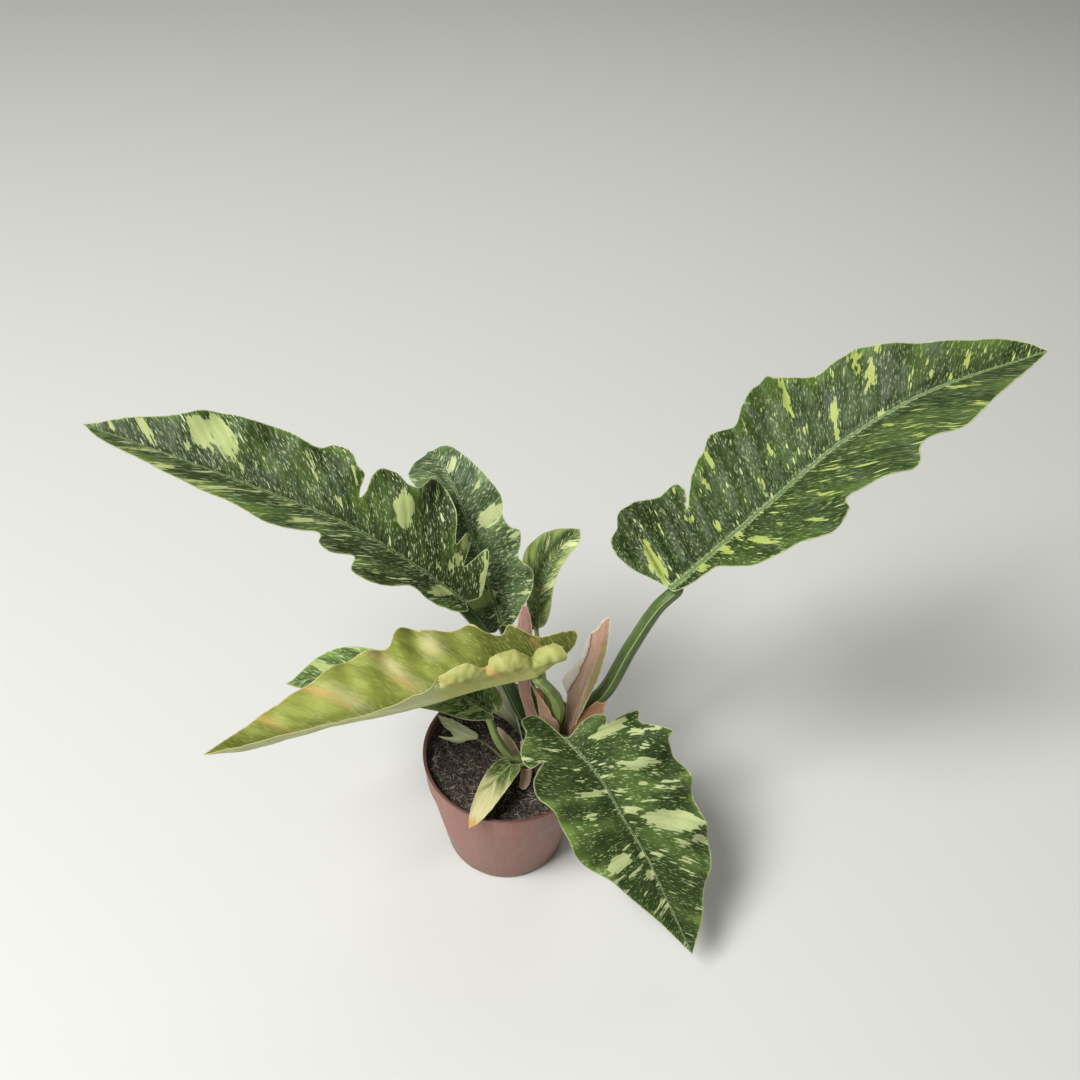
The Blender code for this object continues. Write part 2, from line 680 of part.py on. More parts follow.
LEAVES = (
    (
        LEFT_LEAF,
        Stalk("stalk_left", STALK_GREEN,
              ((18.1, 6.5, CROWN_TOP + GAP), (18.1, 6.5, 110), (10, 8.8, 128), (-3, 9, 165),
               (-21, 9, 216)), (4.2, 5.0, 3.6)),
    ),
    (
        RIGHT_LEAF,
        Stalk("stalk_right", STALK_GREEN,
              ((34.5, 12.5, CROWN_TOP + GAP), (34.5, 12.5, 108), (46, 17, 122), (64, 17, 146),
               (79, 19, 193), (93, 21.5, 230)), (4.2, 5.7, 4.2)),
    ),
    (
        FRONT_LEAF,
        Stalk("stalk_front", STALK_GREEN,
              ((34, -0.5, CROWN_TOP + GAP), (34, -0.5, 109), (34.8, -4, 118), (36.5, -10, 127)),
              (3.6, 3.6, 2.8)),
    ),
    (
        BACK_LEAF,
        Stalk("stalk_back", STALK_GREEN,
              ((21.3, 15.2, CROWN_TOP + GAP), (21.3, 15.2, 112), (12, 19, 150), (0, 21, 182)),
              (3.9, 4.3, 3.0)),
    ),
    (
        NARROW_LEAF,
        Stalk("stalk_narrow", YOUNG_STALK_GREEN,
              ((28.6, 18.2, CROWN_TOP + GAP), (28.6, 18.2, 112), (22, 29, 148), (17.5, 37.6, 170)),
              (2.7, 2.3, 1.4)),
    ),
    (
        YOUNG_LEAF,
        Stalk("stalk_young", YOUNG_STALK_GREEN,
              ((29, 6, CROWN_TOP + GAP), (29, 6, 110), (33.5, -2, 146), (31, -12, 173),
               (25, -20, 193)), (3.8, 4.5, 3.5)),
    ),
    (
        LOW_LEAF,
        Stalk("stalk_low", YOUNG_STALK_GREEN,
              ((8.5, -9, SHOOT_TOP + GAP), (8.5, -9, 99.5), (3, -10, 104), (-6, -11, 122),
               (-11.5, -12.5, 144)), (2.6, 3.1, 2.3)),
    ),
    (
        JUVENILE_LEAF,
        Stalk("stalk_juvenile", YOUNG_STALK_GREEN,
              ((14, -10.8, SHOOT_TOP + GAP), (14, -10.8, 99.5), (10, -15.5, 102)), (1.5, 1.5, 1.2)),
    ),
    (
        TORN_LEAF,
        Stalk("stalk_torn", YOUNG_STALK_GREEN,
              ((4.4, -6.5, 94.0), (-4, -3, 93.6), (-13, 5, 93.6)), (1.0, 1.0, 0.8)),
    ),
)

SHEATHS = (
    sheath("sheath_tall", SHEATH_PINK,
           ((20.5, 0.2, 104.6), (17, 1, 130), (10, 2, 163), (8.5, 5, 200), (7.5, 10, 237)),
           ((0.1, 0.95, 0.0), (0.1, 0.95, 0.0)), 5.5, (50, 50), foot=0.6, belly=0.5, tip=0.75),
    sheath("sheath_open", SHEATH_PINK,
           ((41.5, 4.0, 98.0), (42, 2, 122), (45, 2, 150), (52, 5, 188), (59, 8, 231)),
           ((-0.96, 0.27, 0.0), (-0.75, -0.6, 0.3)), 10.0, (38, 70), foot=0.32, belly=0.66),
    sheath("sheath_dried", SHEATH_DRY,
           ((36, -2.6, 95), (39, -5.6, 107), (42, -5.5, 118), (45, -3.5, 128), (53, 0, 139),
            (66.5, 5, 152)),
           ((-0.6, 0.75, 0.2), (-0.4, -0.6, 0.6)), 4.8, (20, 30), foot=0.5, belly=0.7, tip=0.6),
    sheath("sheath_striped", SHEATH_PINK,
           ((28, -4.4, 104.6), (25.8, -5, 122), (21, -5, 157), (14, -5, 180)),
           ((0.5, 0.85, 0.1), (0.7, 0.6, 0.3)), 5.5, (60, 60),
           left=((0, 3.5), (12, 5), (20, 6.5), (28, 10), (36, 10.5), (44, 7.5), (56, 5.5), (67, 3))),
    sheath("sheath_pale", SHEATH_CREAM,
           ((12.6, 8, 98), (4, 8, 114), (-7.5, 9.5, 136), (-14.5, 13, 160), (-18.5, 15, 180)),
           ((0.9, 0.0, 0.3), (-0.2, 0.95, 0.1)), 7.5, (45, 45), belly=0.5, tip=0.6),
    sheath("sheath_low", SHEATH_CREAM,
           ((6.2, -3.8, 97.6), (0, -3.4, 113), (-7.5, -3, 128)),
           ((-0.2, -0.9, 0.3), (-0.2, -0.8, 0.5)), 4.0, (50, 50)),
    sheath("sheath_small", SHEATH_PINK,
           ((12.8, -4.4, 97.6), (11.6, -4.6, 107), (10.2, -5, 118)),
           ((-0.1, -0.9, 0.2), (-0.1, -0.9, 0.3)), 3.0, (60, 60)),
    sheath("sheath_stub", SHEATH_PINK,
           ((14, -14.1, 96.5), (14.5, -21, 97), (13, -30, 94.5)),
           ((0.0, -0.1, 1.0), (0.0, -0.1, 1.0)), 4.2, (-110, -110), tip=0.75),
)


def main():
    for old in list(bpy.data.objects):
        bpy.data.objects.remove(old, do_unlink=True)
    plant = bpy.data.collections.new("ring_of_fire_philodendron")
    cutters = bpy.data.collections.new("cutters")
    cutters.hide_render = True
    for collection in (plant, cutters):
        bpy.context.scene.collection.children.link(collection)
    make_pot(plant, cutters)
    make_soil(plant, cutters)
    make_stem("stem_crown", CROWN, CROWN_RADIUS, CROWN_ROOT, CROWN_TOP, plant)
    make_stem("stem_shoot", SHOOT, SHOOT_RADIUS, SHOOT_ROOT, SHOOT_TOP, plant)
    for blade, stalk in LEAVES:
        make_stalk(stalk, blade, make_blade(blade, plant), plant)
    for blade in SHEATHS:
        make_blade(blade, plant)


main()
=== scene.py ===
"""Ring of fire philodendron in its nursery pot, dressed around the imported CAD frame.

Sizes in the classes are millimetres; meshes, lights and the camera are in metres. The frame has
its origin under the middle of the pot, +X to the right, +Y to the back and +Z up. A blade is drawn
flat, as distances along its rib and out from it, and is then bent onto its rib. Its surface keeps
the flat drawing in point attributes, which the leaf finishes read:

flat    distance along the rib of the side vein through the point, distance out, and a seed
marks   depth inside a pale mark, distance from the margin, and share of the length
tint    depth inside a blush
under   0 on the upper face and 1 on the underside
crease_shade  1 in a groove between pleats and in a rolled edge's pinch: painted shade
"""

from __future__ import annotations

import logging
import math
from dataclasses import dataclass, replace
from enum import Enum
from functools import partial
from typing import Any, Sequence

import bmesh
import bpy
import numpy as np
from mathutils import Matrix, Vector, geometry, noise

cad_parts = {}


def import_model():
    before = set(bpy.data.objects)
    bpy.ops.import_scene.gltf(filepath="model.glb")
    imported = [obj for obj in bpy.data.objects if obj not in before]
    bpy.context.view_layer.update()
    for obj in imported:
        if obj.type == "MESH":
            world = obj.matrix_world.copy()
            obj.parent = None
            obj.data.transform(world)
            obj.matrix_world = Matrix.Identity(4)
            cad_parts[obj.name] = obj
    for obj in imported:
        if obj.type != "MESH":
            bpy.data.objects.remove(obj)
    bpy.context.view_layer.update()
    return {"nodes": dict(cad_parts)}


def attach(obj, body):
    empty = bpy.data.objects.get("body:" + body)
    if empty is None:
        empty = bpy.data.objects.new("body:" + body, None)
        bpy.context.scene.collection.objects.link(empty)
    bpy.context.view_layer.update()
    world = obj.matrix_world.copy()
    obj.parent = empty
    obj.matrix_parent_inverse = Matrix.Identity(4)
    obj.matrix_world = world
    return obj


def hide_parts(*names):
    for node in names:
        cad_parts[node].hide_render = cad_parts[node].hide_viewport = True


LOG = logging.getLogger("philodendron")
MM = 0.001
WAX_IOR = 1.42
SHARP = 40.0  # degrees that an edge of the turned pieces bends before it stays sharp
MATH = "ShaderNodeMath"
VECTOR_MATH = "ShaderNodeVectorMath"
RANGE = "ShaderNodeMapRange"
SPLIT = "ShaderNodeSeparateXYZ"
SOFT = {"interpolation_type": "SMOOTHSTEP"}
RGBA = {"data_type": "RGBA"}
TIMES_PLUS = {"operation": "MULTIPLY_ADD"}
Array = np.ndarray
Material = bpy.types.Material
Mesh = bpy.types.Mesh
Node = bpy.types.Node
Object = bpy.types.Object
Socket = bpy.types.NodeSocket
Tree = bpy.types.NodeTree
Pair = tuple[float, float]
Triple = tuple[float, float, float]
Mark = tuple[float, float, float, float]  # along, out, half length and half width


def linear(colour: str) -> tuple[float, float, float, float]:
    """Turns an sRGB hex colour into linear red, green, blue and alpha.

    Args:
        colour: Six hex digits after a hash.

    Returns:
        The linear colour, opaque.
    """
    parts = [int(colour[i : i + 2], 16) / 255 for i in (1, 3, 5)]
    light = [c / 12.92 if c <= 0.04045 else ((c + 0.055) / 1.055) ** 2.4 for c in parts]
    return (*light, 1.0)


def feed(node: Node, inputs: Any) -> None:
    """Fills or links a node's inputs.

    Args:
        node: The node.
        inputs: Values, sockets or nodes, in order or by input name or number. A node feeds the
            input with its first output.
    """
    for key, value in inputs.items() if isinstance(inputs, dict) else enumerate(inputs):
        source = value.outputs[0] if isinstance(value, Node) else value
        if isinstance(source, Socket):
            node.id_data.links.new(source, node.inputs[key])
        else:
            node.inputs[key].default_value = source


def add_node(tree: Tree, kind: str, inputs: Any = (), **settings: Any) -> Node:
    """Adds a node with its settings and links.

    Args:
        tree: The tree that gets the node.
        kind: The node's type name.
        inputs: What feeds it, as in feed.
        settings: The node's own properties.

    Returns:
        The new node.
    """
    node = tree.nodes.new(kind)
    for name, value in settings.items():
        setattr(node, name, value)
    feed(node, inputs)
    return node


@dataclass(frozen=True)
class Grain:
    """A pattern of soft noise."""

    size: Triple  # of one grain along each coordinate, in millimetres
    limits: Pair  # the noise at which the mask is 0, and the one at which it is 1
    detail: float = 2.0  # octaves


class Coat:
    """A material in the making, on one Principled shader."""

    BLUR = 0.14  # width of a speck's soft edge, as a share of their distance

    def __init__(self, name: str, *attributes: str) -> None:
        """Starts the material. Its patterns are drawn on the first thing that it reads.

        Args:
            name: Its name.
            attributes: The point attributes that it reads, in millimetres. Without any it reads
                Object coordinates, in metres.
        """
        self.material = bpy.data.materials.new(name)
        self.material.use_nodes = True
        tree = self.material.node_tree
        self.shader = tree.nodes["Principled BSDF"]
        self.add = partial(add_node, tree)
        self.unit = 1.0 if attributes else MM
        self.read = [
            self.add("ShaderNodeAttribute", attribute_name=key).outputs["Vector"]
            for key in attributes
        ] or [self.add("ShaderNodeTexCoord").outputs["Object"]]

    def grain(self, pattern: Grain) -> Node:
        """A mask of soft grains.

        Args:
            pattern: The size of the grains and their limits.

        Returns:
            The node that gives the mask, from 0 to 1.
        """
        share = tuple(1 / (s * self.unit) for s in pattern.size)
        counted = self.add(VECTOR_MATH, (self.read[0], share), operation="MULTIPLY")
        inputs = {"Vector": counted, "Scale": 1.0, "Detail": pattern.detail}
        cloud = self.add("ShaderNodeTexNoise", inputs)
        return self.add(RANGE, (cloud, *pattern.limits), **SOFT)

    def specks(self, size: Triple, filled: float, largest: float) -> Node:
        """A mask of separate specks of uneven size.

        Args:
            size: Distance of the specks along each coordinate, in millimetres.
            filled: Share of the places that hold a speck.
            largest: Radius of the largest speck, as a share of their distance.

        Returns:
            The node that gives the mask, from 0 to 1.
        """
        share = tuple(1 / (s * self.unit) for s in size)
        counted = self.add(VECTOR_MATH, (self.read[0], share), operation="MULTIPLY")
        cells = self.add("ShaderNodeTexVoronoi", {"Vector": counted, "Scale": 1.0}).outputs
        rank = self.add(SPLIT, (cells["Color"],))
        radius = self.add(MATH, (rank, -largest / filled, largest), **TIMES_PLUS)
        inside = self.add(MATH, (radius, cells["Distance"]), operation="SUBTRACT")
        return self.add(RANGE, (inside, 0.0, self.BLUR), **SOFT)

    def layered(self, base: Any, layers: Sequence[tuple[Any, Any, Any]]) -> Socket:
        """Lays colours over each other, each where its mask shows.

        Args:
            base: The lowest colour, as a hex colour or a socket.
            layers: Mask, colour and the share at which it covers, from the lowest up.

        Returns:
            The colour of the stack.
        """
        below = linear(base) if isinstance(base, str) else base
        for mask, colour, share in layers:
            upper = linear(colour) if isinstance(colour, str) else colour
            cover = self.add(MATH, (mask, share), operation="MULTIPLY")
            below = self.add("ShaderNodeMix", {0: cover, 6: below, 7: upper}, **RGBA).outputs[2]
        return below

    def finish(
        self, colour: Socket, rough: Node | float, relief: Node, strength: float, depth: float
    ) -> Material:
        """Feeds the shader.

        Args:
            colour: The surface's colour.
            rough: Its roughness, as a node or as one number.
            relief: The node that gives its height.
            strength: How strongly the relief shows.
            depth: The relief's height in millimetres.

        Returns:
            The finished material.
        """
        bump = {"Height": relief, "Strength": strength, "Distance": depth * MM}
        normal = self.add("ShaderNodeBump", bump)
        feed(self.shader, {"Base Color": colour, "Roughness": rough, "Normal": normal})
        return self.material


def new_object(name: str, data: bpy.types.ID) -> Object:
    """Makes an object in the scene.

    Args:
        name: Its name.
        data: Its mesh, light or camera.

    Returns:
        The object, at the origin.
    """
    made = bpy.data.objects.new(name, data)
    bpy.context.scene.collection.objects.link(made)
    return made


def add_piece(name: str, mesh: Mesh, nodes: Sequence[str], slot: str) -> Object:
    """Puts a finished mesh in the scene in place of its CAD nodes.

    Args:
        name: The piece's name.
        mesh: Its mesh, in metres in the frame.
        nodes: The CAD nodes that it stands for.
        slot: The record's material slot. It is not used.

    Returns:
        The piece.
    """
    piece = new_object(name, mesh)
    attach(piece, "root")
    if nodes:
        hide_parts(*nodes)
    LOG.info("%s: %d faces, for %s", name, len(mesh.polygons), ", ".join(nodes) or "no node")
    return piece


def mesh_from(
    name: str,
    points: Array,
    faces: Sequence[Sequence[int]],
    attributes: dict[str, Array],
    material: Material,
    sharp: float = 50.0,
) -> Mesh:
    """Makes a mesh with point attributes.

    Args:
        name: The mesh's name.
        points: Its points in millimetres.
        faces: Its faces as point numbers.
        attributes: A number or a vector for each point, by attribute name.
        material: Its only material.
        sharp: Edges that bend more than this many degrees stay sharp.

    Returns:
        The mesh, in metres and shaded smooth.
    """
    mesh = bpy.data.meshes.new(name)
    mesh.from_pydata((points * MM).tolist(), [], [list(face) for face in faces])
    for key, values in attributes.items():
        kind, slot = ("FLOAT", "value") if values.ndim == 1 else ("FLOAT_VECTOR", "vector")
        made = mesh.attributes.new(key, kind, "POINT")
        made.data.foreach_set(slot, values.astype(np.float32).ravel())
    mesh.materials.append(material)
    mesh.shade_smooth()
    mesh.set_sharp_from_angle(angle=math.radians(sharp))
    return mesh


def smooth(points: Sequence[Sequence[float]], step: float) -> Array:
    """Points on a smooth curve through the given ones.

    Args:
        points: The points that the curve keeps.
        step: The widest spacing of the new points.

    Returns:
        The curve's points, with the given ones among them.
    """
    given = np.asarray(points, float)
    chords = np.diff(given, axis=0)
    lengths = np.maximum(np.linalg.norm(chords, axis=1), 1e-6)
    spans = np.sqrt(lengths)[:, None]
    rates = chords / spans
    inner = (rates[:-1] * spans[1:] + rates[1:] * spans[:-1]) / (spans[1:] + spans[:-1])
    slopes = np.vstack([rates[:1], inner, rates[-1:]])
    curve = []
    for i, length in enumerate(lengths):
        t = np.linspace(0, 1, max(1, math.ceil(length / step)), endpoint=False)[:, None]
        curve.append(
            (2 * t**3 - 3 * t**2 + 1) * given[i]
            + (t**3 - 2 * t**2 + t) * spans[i] * slopes[i]
            + (3 * t**2 - 2 * t**3) * given[i + 1]
            + (t**3 - t**2) * spans[i] * slopes[i + 1]
        )
    return np.vstack([*curve, given[-1:]])


def eased(value: Array, low: float, high: float) -> Array:
    """0 below low and 1 above high, smoothly."""
    t = np.clip((value - low) / (high - low), 0, 1)
    return t * t * (3 - 2 * t)


def unit(vectors: Array) -> Array:
    """Each vector at length 1."""
    return vectors / np.maximum(np.linalg.norm(vectors, axis=-1, keepdims=True), 1e-9)


def clouds(points: Array, size: float, seed: float) -> Array:
    """Soft noise at each point.

    Args:
        points: The points, flat or in space.
        size: Size of the lumps.
        seed: A number that sets one blade's noise apart from another's.

    Returns:
        A number from -1 to 1 for each.
    """
    places = np.column_stack([points / size, np.full(len(points), seed)])[:, :3]
    return np.array([noise.noise(Vector(place)) for place in places])


class Growth(Enum):
    """How the veins of a blade run."""

    SIDE = "out from the rib"
    LONG = "along the blade, as in a sheath"


@dataclass(frozen=True)
class Half:
    """One side of a blade. A pair holds the value at the joint and the value at the tip."""

    outline: tuple[Pair, ...]  # (along the rib, out from the rib), from the joint to the tip
    fold: Pair  # degrees that the half rises out of the blade's plane
    curl: Pair = (0.0, 0.0)  # degrees that it bends in 10 mm
    roll_from: Pair = (500.0, 500.0)  # where its edge starts to roll up
    roll: Pair = (0.0, 0.0)  # degrees that the rolled edge bends in 10 mm
    puff: float = 0.0  # how far the rolled edge swells between its pinches
    ruffle: float = 0.0  # height of its waves
    wave: float = 30.0
    phase: float = 0.0
    lean: Pair = (0.4, 1.2)  # distance that a side vein runs towards the tip for each one out
    pleat: Pair = (0.6, 0.3)  # height of the puffs between the side veins
    vein_gap: float = 9.0
    patches: tuple[Mark, ...] = ()
    blushes: tuple[Mark, ...] = ()


@dataclass(frozen=True)
class Blade:
    """A leaf blade or a sheath, from its joint to its tip."""

    name: str
    slot: str
    rib: tuple[Triple, ...]
    faces: tuple[Triple, ...]  # the way its upper face looks, from the joint to the tip
    left: Half  # seen along the rib with the face up
    right: Half
    rib_thickness: float = 2.6
    seed: float = 0.0
    growth: Growth = Growth.SIDE
    spacing: float = 1.25
    thickness: float = 0.55
    frayed: float = 0.2  # how far its margin wanders


class Rib:
    """A smooth line that is read by the distance along it."""

    STEP = 1.0
    REACH = 0.04  # share of the length over which its direction is taken

    def __init__(self, points: Sequence[Triple], faces: Sequence[Triple]) -> None:
        """Works out the line.

        Args:
            points: The points that it runs through.
            faces: The way that the face looks, from its start to its end.
        """
        self.points = smooth(points, self.STEP)
        steps = np.linalg.norm(np.diff(self.points, axis=0), axis=1)
        self.places = np.concatenate([[0.0], np.cumsum(steps)])
        self.length = float(self.places[-1])
        self.faces = np.asarray(faces, float)

    def inside(self, x: Array) -> Array:
        """Points on the line, held at its ends."""
        return np.column_stack([np.interp(x, self.places, self.points[:, k]) for k in range(3)])

    def direction(self, x: Array) -> Array:
        """The way that the line runs.

        Args:
            x: Distances along it.

        Returns:
            A unit vector for each.
        """
        held = np.clip(x, 0, self.length)
        reach = self.REACH * self.length
        return unit(self.inside(held + reach) - self.inside(held - reach))

    def point(self, x: Array) -> Array:
        """Points on the line and on its straight continuation."""
        past = x - np.clip(x, 0, self.length)
        return self.inside(x) + past[:, None] * self.direction(x)

    def frame(self, x: Array) -> tuple[Array, Array, Array]:
        """The directions that a place on the line has.

        Args:
            x: Distances along it.

        Returns:
            Along the line, out of the face and to the left, for each.
        """
        share = np.clip(x / self.length, 0, 1)
        stops = np.linspace(0, 1, len(self.faces))
        along = self.direction(x)
        face = np.column_stack([np.interp(share, stops, self.faces[:, k]) for k in range(3)])
        face = unit(face - np.sum(face * along, axis=1, keepdims=True) * along)
        return along, face, np.cross(face, along)


def arc(angle: Array, bend: Array, length: Array) -> tuple[Array, Array]:
    """The far end of an arc that bends evenly.

    Args:
        angle: How far its start rises, in radians.
        bend: How much it bends in a millimetre, in radians.
        length: Its length.

    Returns:
        How far across and how far up the end lies.
    """
    straight = np.abs(bend * length) < 1e-6
    safe = np.where(straight, 1.0, bend)
    end = angle + bend * length
    across = np.where(straight, length * np.cos(angle), (np.sin(end) - np.sin(angle)) / safe)
    up = np.where(straight, length * np.sin(angle), (np.cos(angle) - np.cos(end)) / safe)
    return across, up


class BladeSurface:
    """The fine mesh of a blade or a sheath."""

    RUFFLE_REACH = 35.0  # distance from the rib at which a wave has its full height
    RIB_ROWS = (0.6, 1.3, 2.1, 3.0)  # distances of the rows of points beside the rib
    RIB_TAPER = 0.85
    RIB_WIDTH = 1.5
    RIB_ENDS = (-4.0, 1.0)  # distances from the joint over which the rib starts
    RIB_FADE = 1.5  # distance from the edge over which it ends
    EDGE_THICKNESS, EDGE_REACH = 0.35, 3.0
    SIDES_APART = 40.0  # sets the patterns of the halves apart
    FRAY_SIZE, FRAY_FREE = 2.6, 6  # lump size, and points beside the joint and tip that keep still
    CLEAR = 0.55  # least distance of an inner point from the edge, as a share of the spacing
    CHUNK = 1500  # points worked out at a time, which keeps the memory small
    PUFF, PUFF_START, PUFF_ROUND = 28.0, 3.0, 0.6
    BULGE, BULGE_FLOOR = 0.45, 0.6
    # Pairs of height and size: a sheath's strands and lumps, and a leaf's lumps.
    STRANDS, SWAY, SHEATH_LUMPS = (0.08, 1.7), (0.4, 9), (0.4, 6.0)
    LUMPS, MARGIN_LUMPS, ROLL_LUMPS = (0.5, 14.0), (0.45, 5.0), (0.9, 3.6)
    GROOVE = (1.2, 0.6, 0.8)  # along a sheath's marks: depth, distance and width
    GUTTER = (0.5, 3.2, 2.0)  # beside the rib: depth, distance and width
    CREST = (0.35, 0.9, 0.6)  # of the rib: height, width and what it loses up to the tip
    PLEAT_ROUND, PLEAT_FLOOR, FULL_PLEAT = 0.7, 0.62, 2.4
    PLEAT_OUT, PLEAT_IN, PLEAT_LEAST = (1.0, 8.0), (0.0, 7.0), 0.35
    WRINKLE, WRINKLES = 0.12, 3.1  # share of a pleat's height, and wrinkles in a pleat
    MARGIN_REACH, ROLL_REACH, ROLL_SHADE = 6, 3.0, 6.0
    RAGGED, RAGGED_SIZE = 0.55, 3.0
    OUTSIDE = -6.0  # the depth that is given far outside every mark
    NARROWEST = 1.2  # half width of a mark that is still as deep as it
    ALONG = 50.0  # lean of the marks of a sheath, which makes them run along it

    def __init__(self, blade: Blade) -> None:
        """Works out the flat mesh.

        Args:
            blade: The sizes of the blade.
        """
        self.blade = blade
        self.rib = Rib(blade.rib, blade.faces)
        self.ring, self.tip = self.outline()
        inner = self.inner_points()
        line = np.linspace(0, self.rib.length, max(4, round(self.rib.length / blade.spacing)))
        line = np.column_stack([line, np.zeros(len(line))])[1:-1]
        count = len(self.ring)
        path = [0, *range(count, count + len(line)), self.tip]
        points = [Vector(p) for p in np.vstack([self.ring, line, inner])]
        flat, _, faces, *_ = geometry.delaunay_2d_cdt(
            points, list(zip(path, path[1:])), [list(range(count))], 1, 1e-4
        )
        self.flat = np.array([tuple(p) for p in flat])
        self.faces = np.array(faces)
        self.x, self.y = self.flat.T
        self.out = np.abs(self.y)
        self.share = np.clip(self.x / self.rib.length, 0, 1)
        self.edge = self.edge_distance(self.flat)[0]
        self.edge[:count] = 0.0

    def outline(self) -> tuple[Array, int]:
        """The flat outline.

        Returns:
            Its points, counterclockwise from the joint, and the number of the tip among them.
        """
        tip = (self.rib.length, 0.0)
        sides = []
        for sign, half in ((-1, self.blade.right), (1, self.blade.left)):
            corners = [(0.0, 0.0), *((x, sign * y) for x, y in half.outline), tip]
            sides.append(smooth(corners, self.blade.spacing))
        right, left = sides
        ring = np.vstack([right, left[::-1][1:-1]])
        place = np.arange(len(ring))
        last = len(right) - 1
        free = np.minimum(np.minimum(place, len(ring) - place), np.abs(place - last))
        ahead = unit(np.roll(ring, -1, axis=0) - np.roll(ring, 1, axis=0))
        outwards = np.column_stack([ahead[:, 1], -ahead[:, 0]])
        wander = self.blade.frayed * clouds(ring, self.FRAY_SIZE, self.blade.seed + 9)
        shift = wander * np.minimum(free / self.FRAY_FREE, 1)
        return ring + shift[:, None] * outwards, last

    def edge_distance(self, places: Array) -> tuple[Array, Array]:
        """How flat points lie to the outline.

        Args:
            places: The points.

        Returns:
            Their distances from it, and whether they lie inside it.
        """
        a, b = self.ring, np.roll(self.ring, -1, axis=0)
        side = b - a
        size = np.maximum(np.sum(side * side, axis=1), 1e-12)
        least, inside = [], []
        for part in np.array_split(places, max(1, len(places) // self.CHUNK)):
            gap = part[:, None, :] - a[None]
            share = np.clip(np.sum(gap * side, axis=2) / size, 0, 1)
            apart = gap - share[..., None] * side
            least.append(np.sqrt(np.min(np.sum(apart * apart, axis=2), axis=1)))
            crosses = (a[:, 1] > part[:, 1:]) != (b[:, 1] > part[:, 1:])
            rise = np.where(side[:, 1] == 0, 1e-12, side[:, 1])
            reach = a[:, 0] + (part[:, 1:] - a[:, 1]) * side[:, 0] / rise
            inside.append(np.sum(crosses & (part[:, :1] < reach), axis=1) % 2 == 1)
        return np.concatenate(least), np.concatenate(inside)

    def inner_points(self) -> Array:
        """Rows of points beside the rib, and staggered rows from there to the margin.

        Returns:
            The points that lie well inside the outline.
        """
        step = self.blade.spacing
        low, high = self.ring.min(axis=0), self.ring.max(axis=0)
        rows = [s * y for y in self.RIB_ROWS for s in (-1, 1)]
        height = step * math.sqrt(0.75)
        last = self.RIB_ROWS[-1]
        rows += list(np.arange(last + height, high[1], height))
        rows += list(-np.arange(last + height, -low[1], height))
        places = []
        for k, y in enumerate(rows):
            x = np.arange(low[0] + (k % 2) * step / 2, high[0], step)
            places.append(np.column_stack([x, np.full(len(x), y)]))
        places = np.vstack(places)
        distance, inside = self.edge_distance(places)
        return places[inside & (distance > self.CLEAR * step)]

    def value(self, name: str) -> Array:
        """Reads a pair of the halves.

        Args:
            name: The field that holds the pair.

        Returns:
            What it is at each point of the mesh.
        """
        left, right = getattr(self.blade.left, name), getattr(self.blade.right, name)
        first = np.where(self.y >= 0, left[0], right[0])
        last = np.where(self.y >= 0, left[1], right[1])
        return first * (1 - self.share) + last * self.share

    def number(self, name: str) -> Array:
        """A number of the halves, read at each point of the mesh."""
        left, right = getattr(self.blade.left, name), getattr(self.blade.right, name)
        return np.where(self.y >= 0, left, right)

    def bent(self) -> Array:
        """Bends the flat mesh.

        Returns:
            The place in space of each of its points.
        """
        fold = np.radians(self.value("fold"))
        curl = np.radians(self.value("curl")) / 10
        roll = np.radians(self.value("roll")) / 10
        swell = self.number("puff") * (self.swing() - 0.5)
        plain = np.minimum(self.out, self.value("roll_from") + swell)
        across, up = arc(fold, curl, plain)
        more_across, more_up = arc(fold + curl * plain, curl + roll, self.out - plain)
        wave = np.sin(math.tau * self.x / self.number("wave") + self.number("phase"))
        up = up + more_up + self.number("ruffle") * wave * (self.out / self.RUFFLE_REACH) ** 2
        across = np.where(self.y < 0, -1, 1) * (across + more_across)
        _, face, left = self.rib.frame(self.x)
        return self.rib.point(self.x) + across[:, None] * left + up[:, None] * face

    def vein(self) -> Array:
        """Where the side vein through each point of a leaf leaves the rib."""
        return self.x - self.value("lean") * self.out

    def strands(self) -> Array:
        """The relief of a sheath.

        Returns:
            Height of each point over the plain bent blade.
        """
        height, gap = self.STRANDS
        sway, stretch = self.SWAY
        strands = np.abs(np.sin(math.pi * self.y / gap + sway * np.sin(self.x / stretch)))
        depth, place, width = self.GROOVE
        groove = np.exp(-(((self.depth_in("patches") + place) / width) ** 2))
        return height * strands + self.lumps(self.SHEATH_LUMPS, 0) - depth * groove

    def lumps(self, size: Pair, seed: float) -> Array:
        """Soft lumps of a height and size at each point."""
        return size[0] * clouds(self.flat, size[1], self.blade.seed + seed)

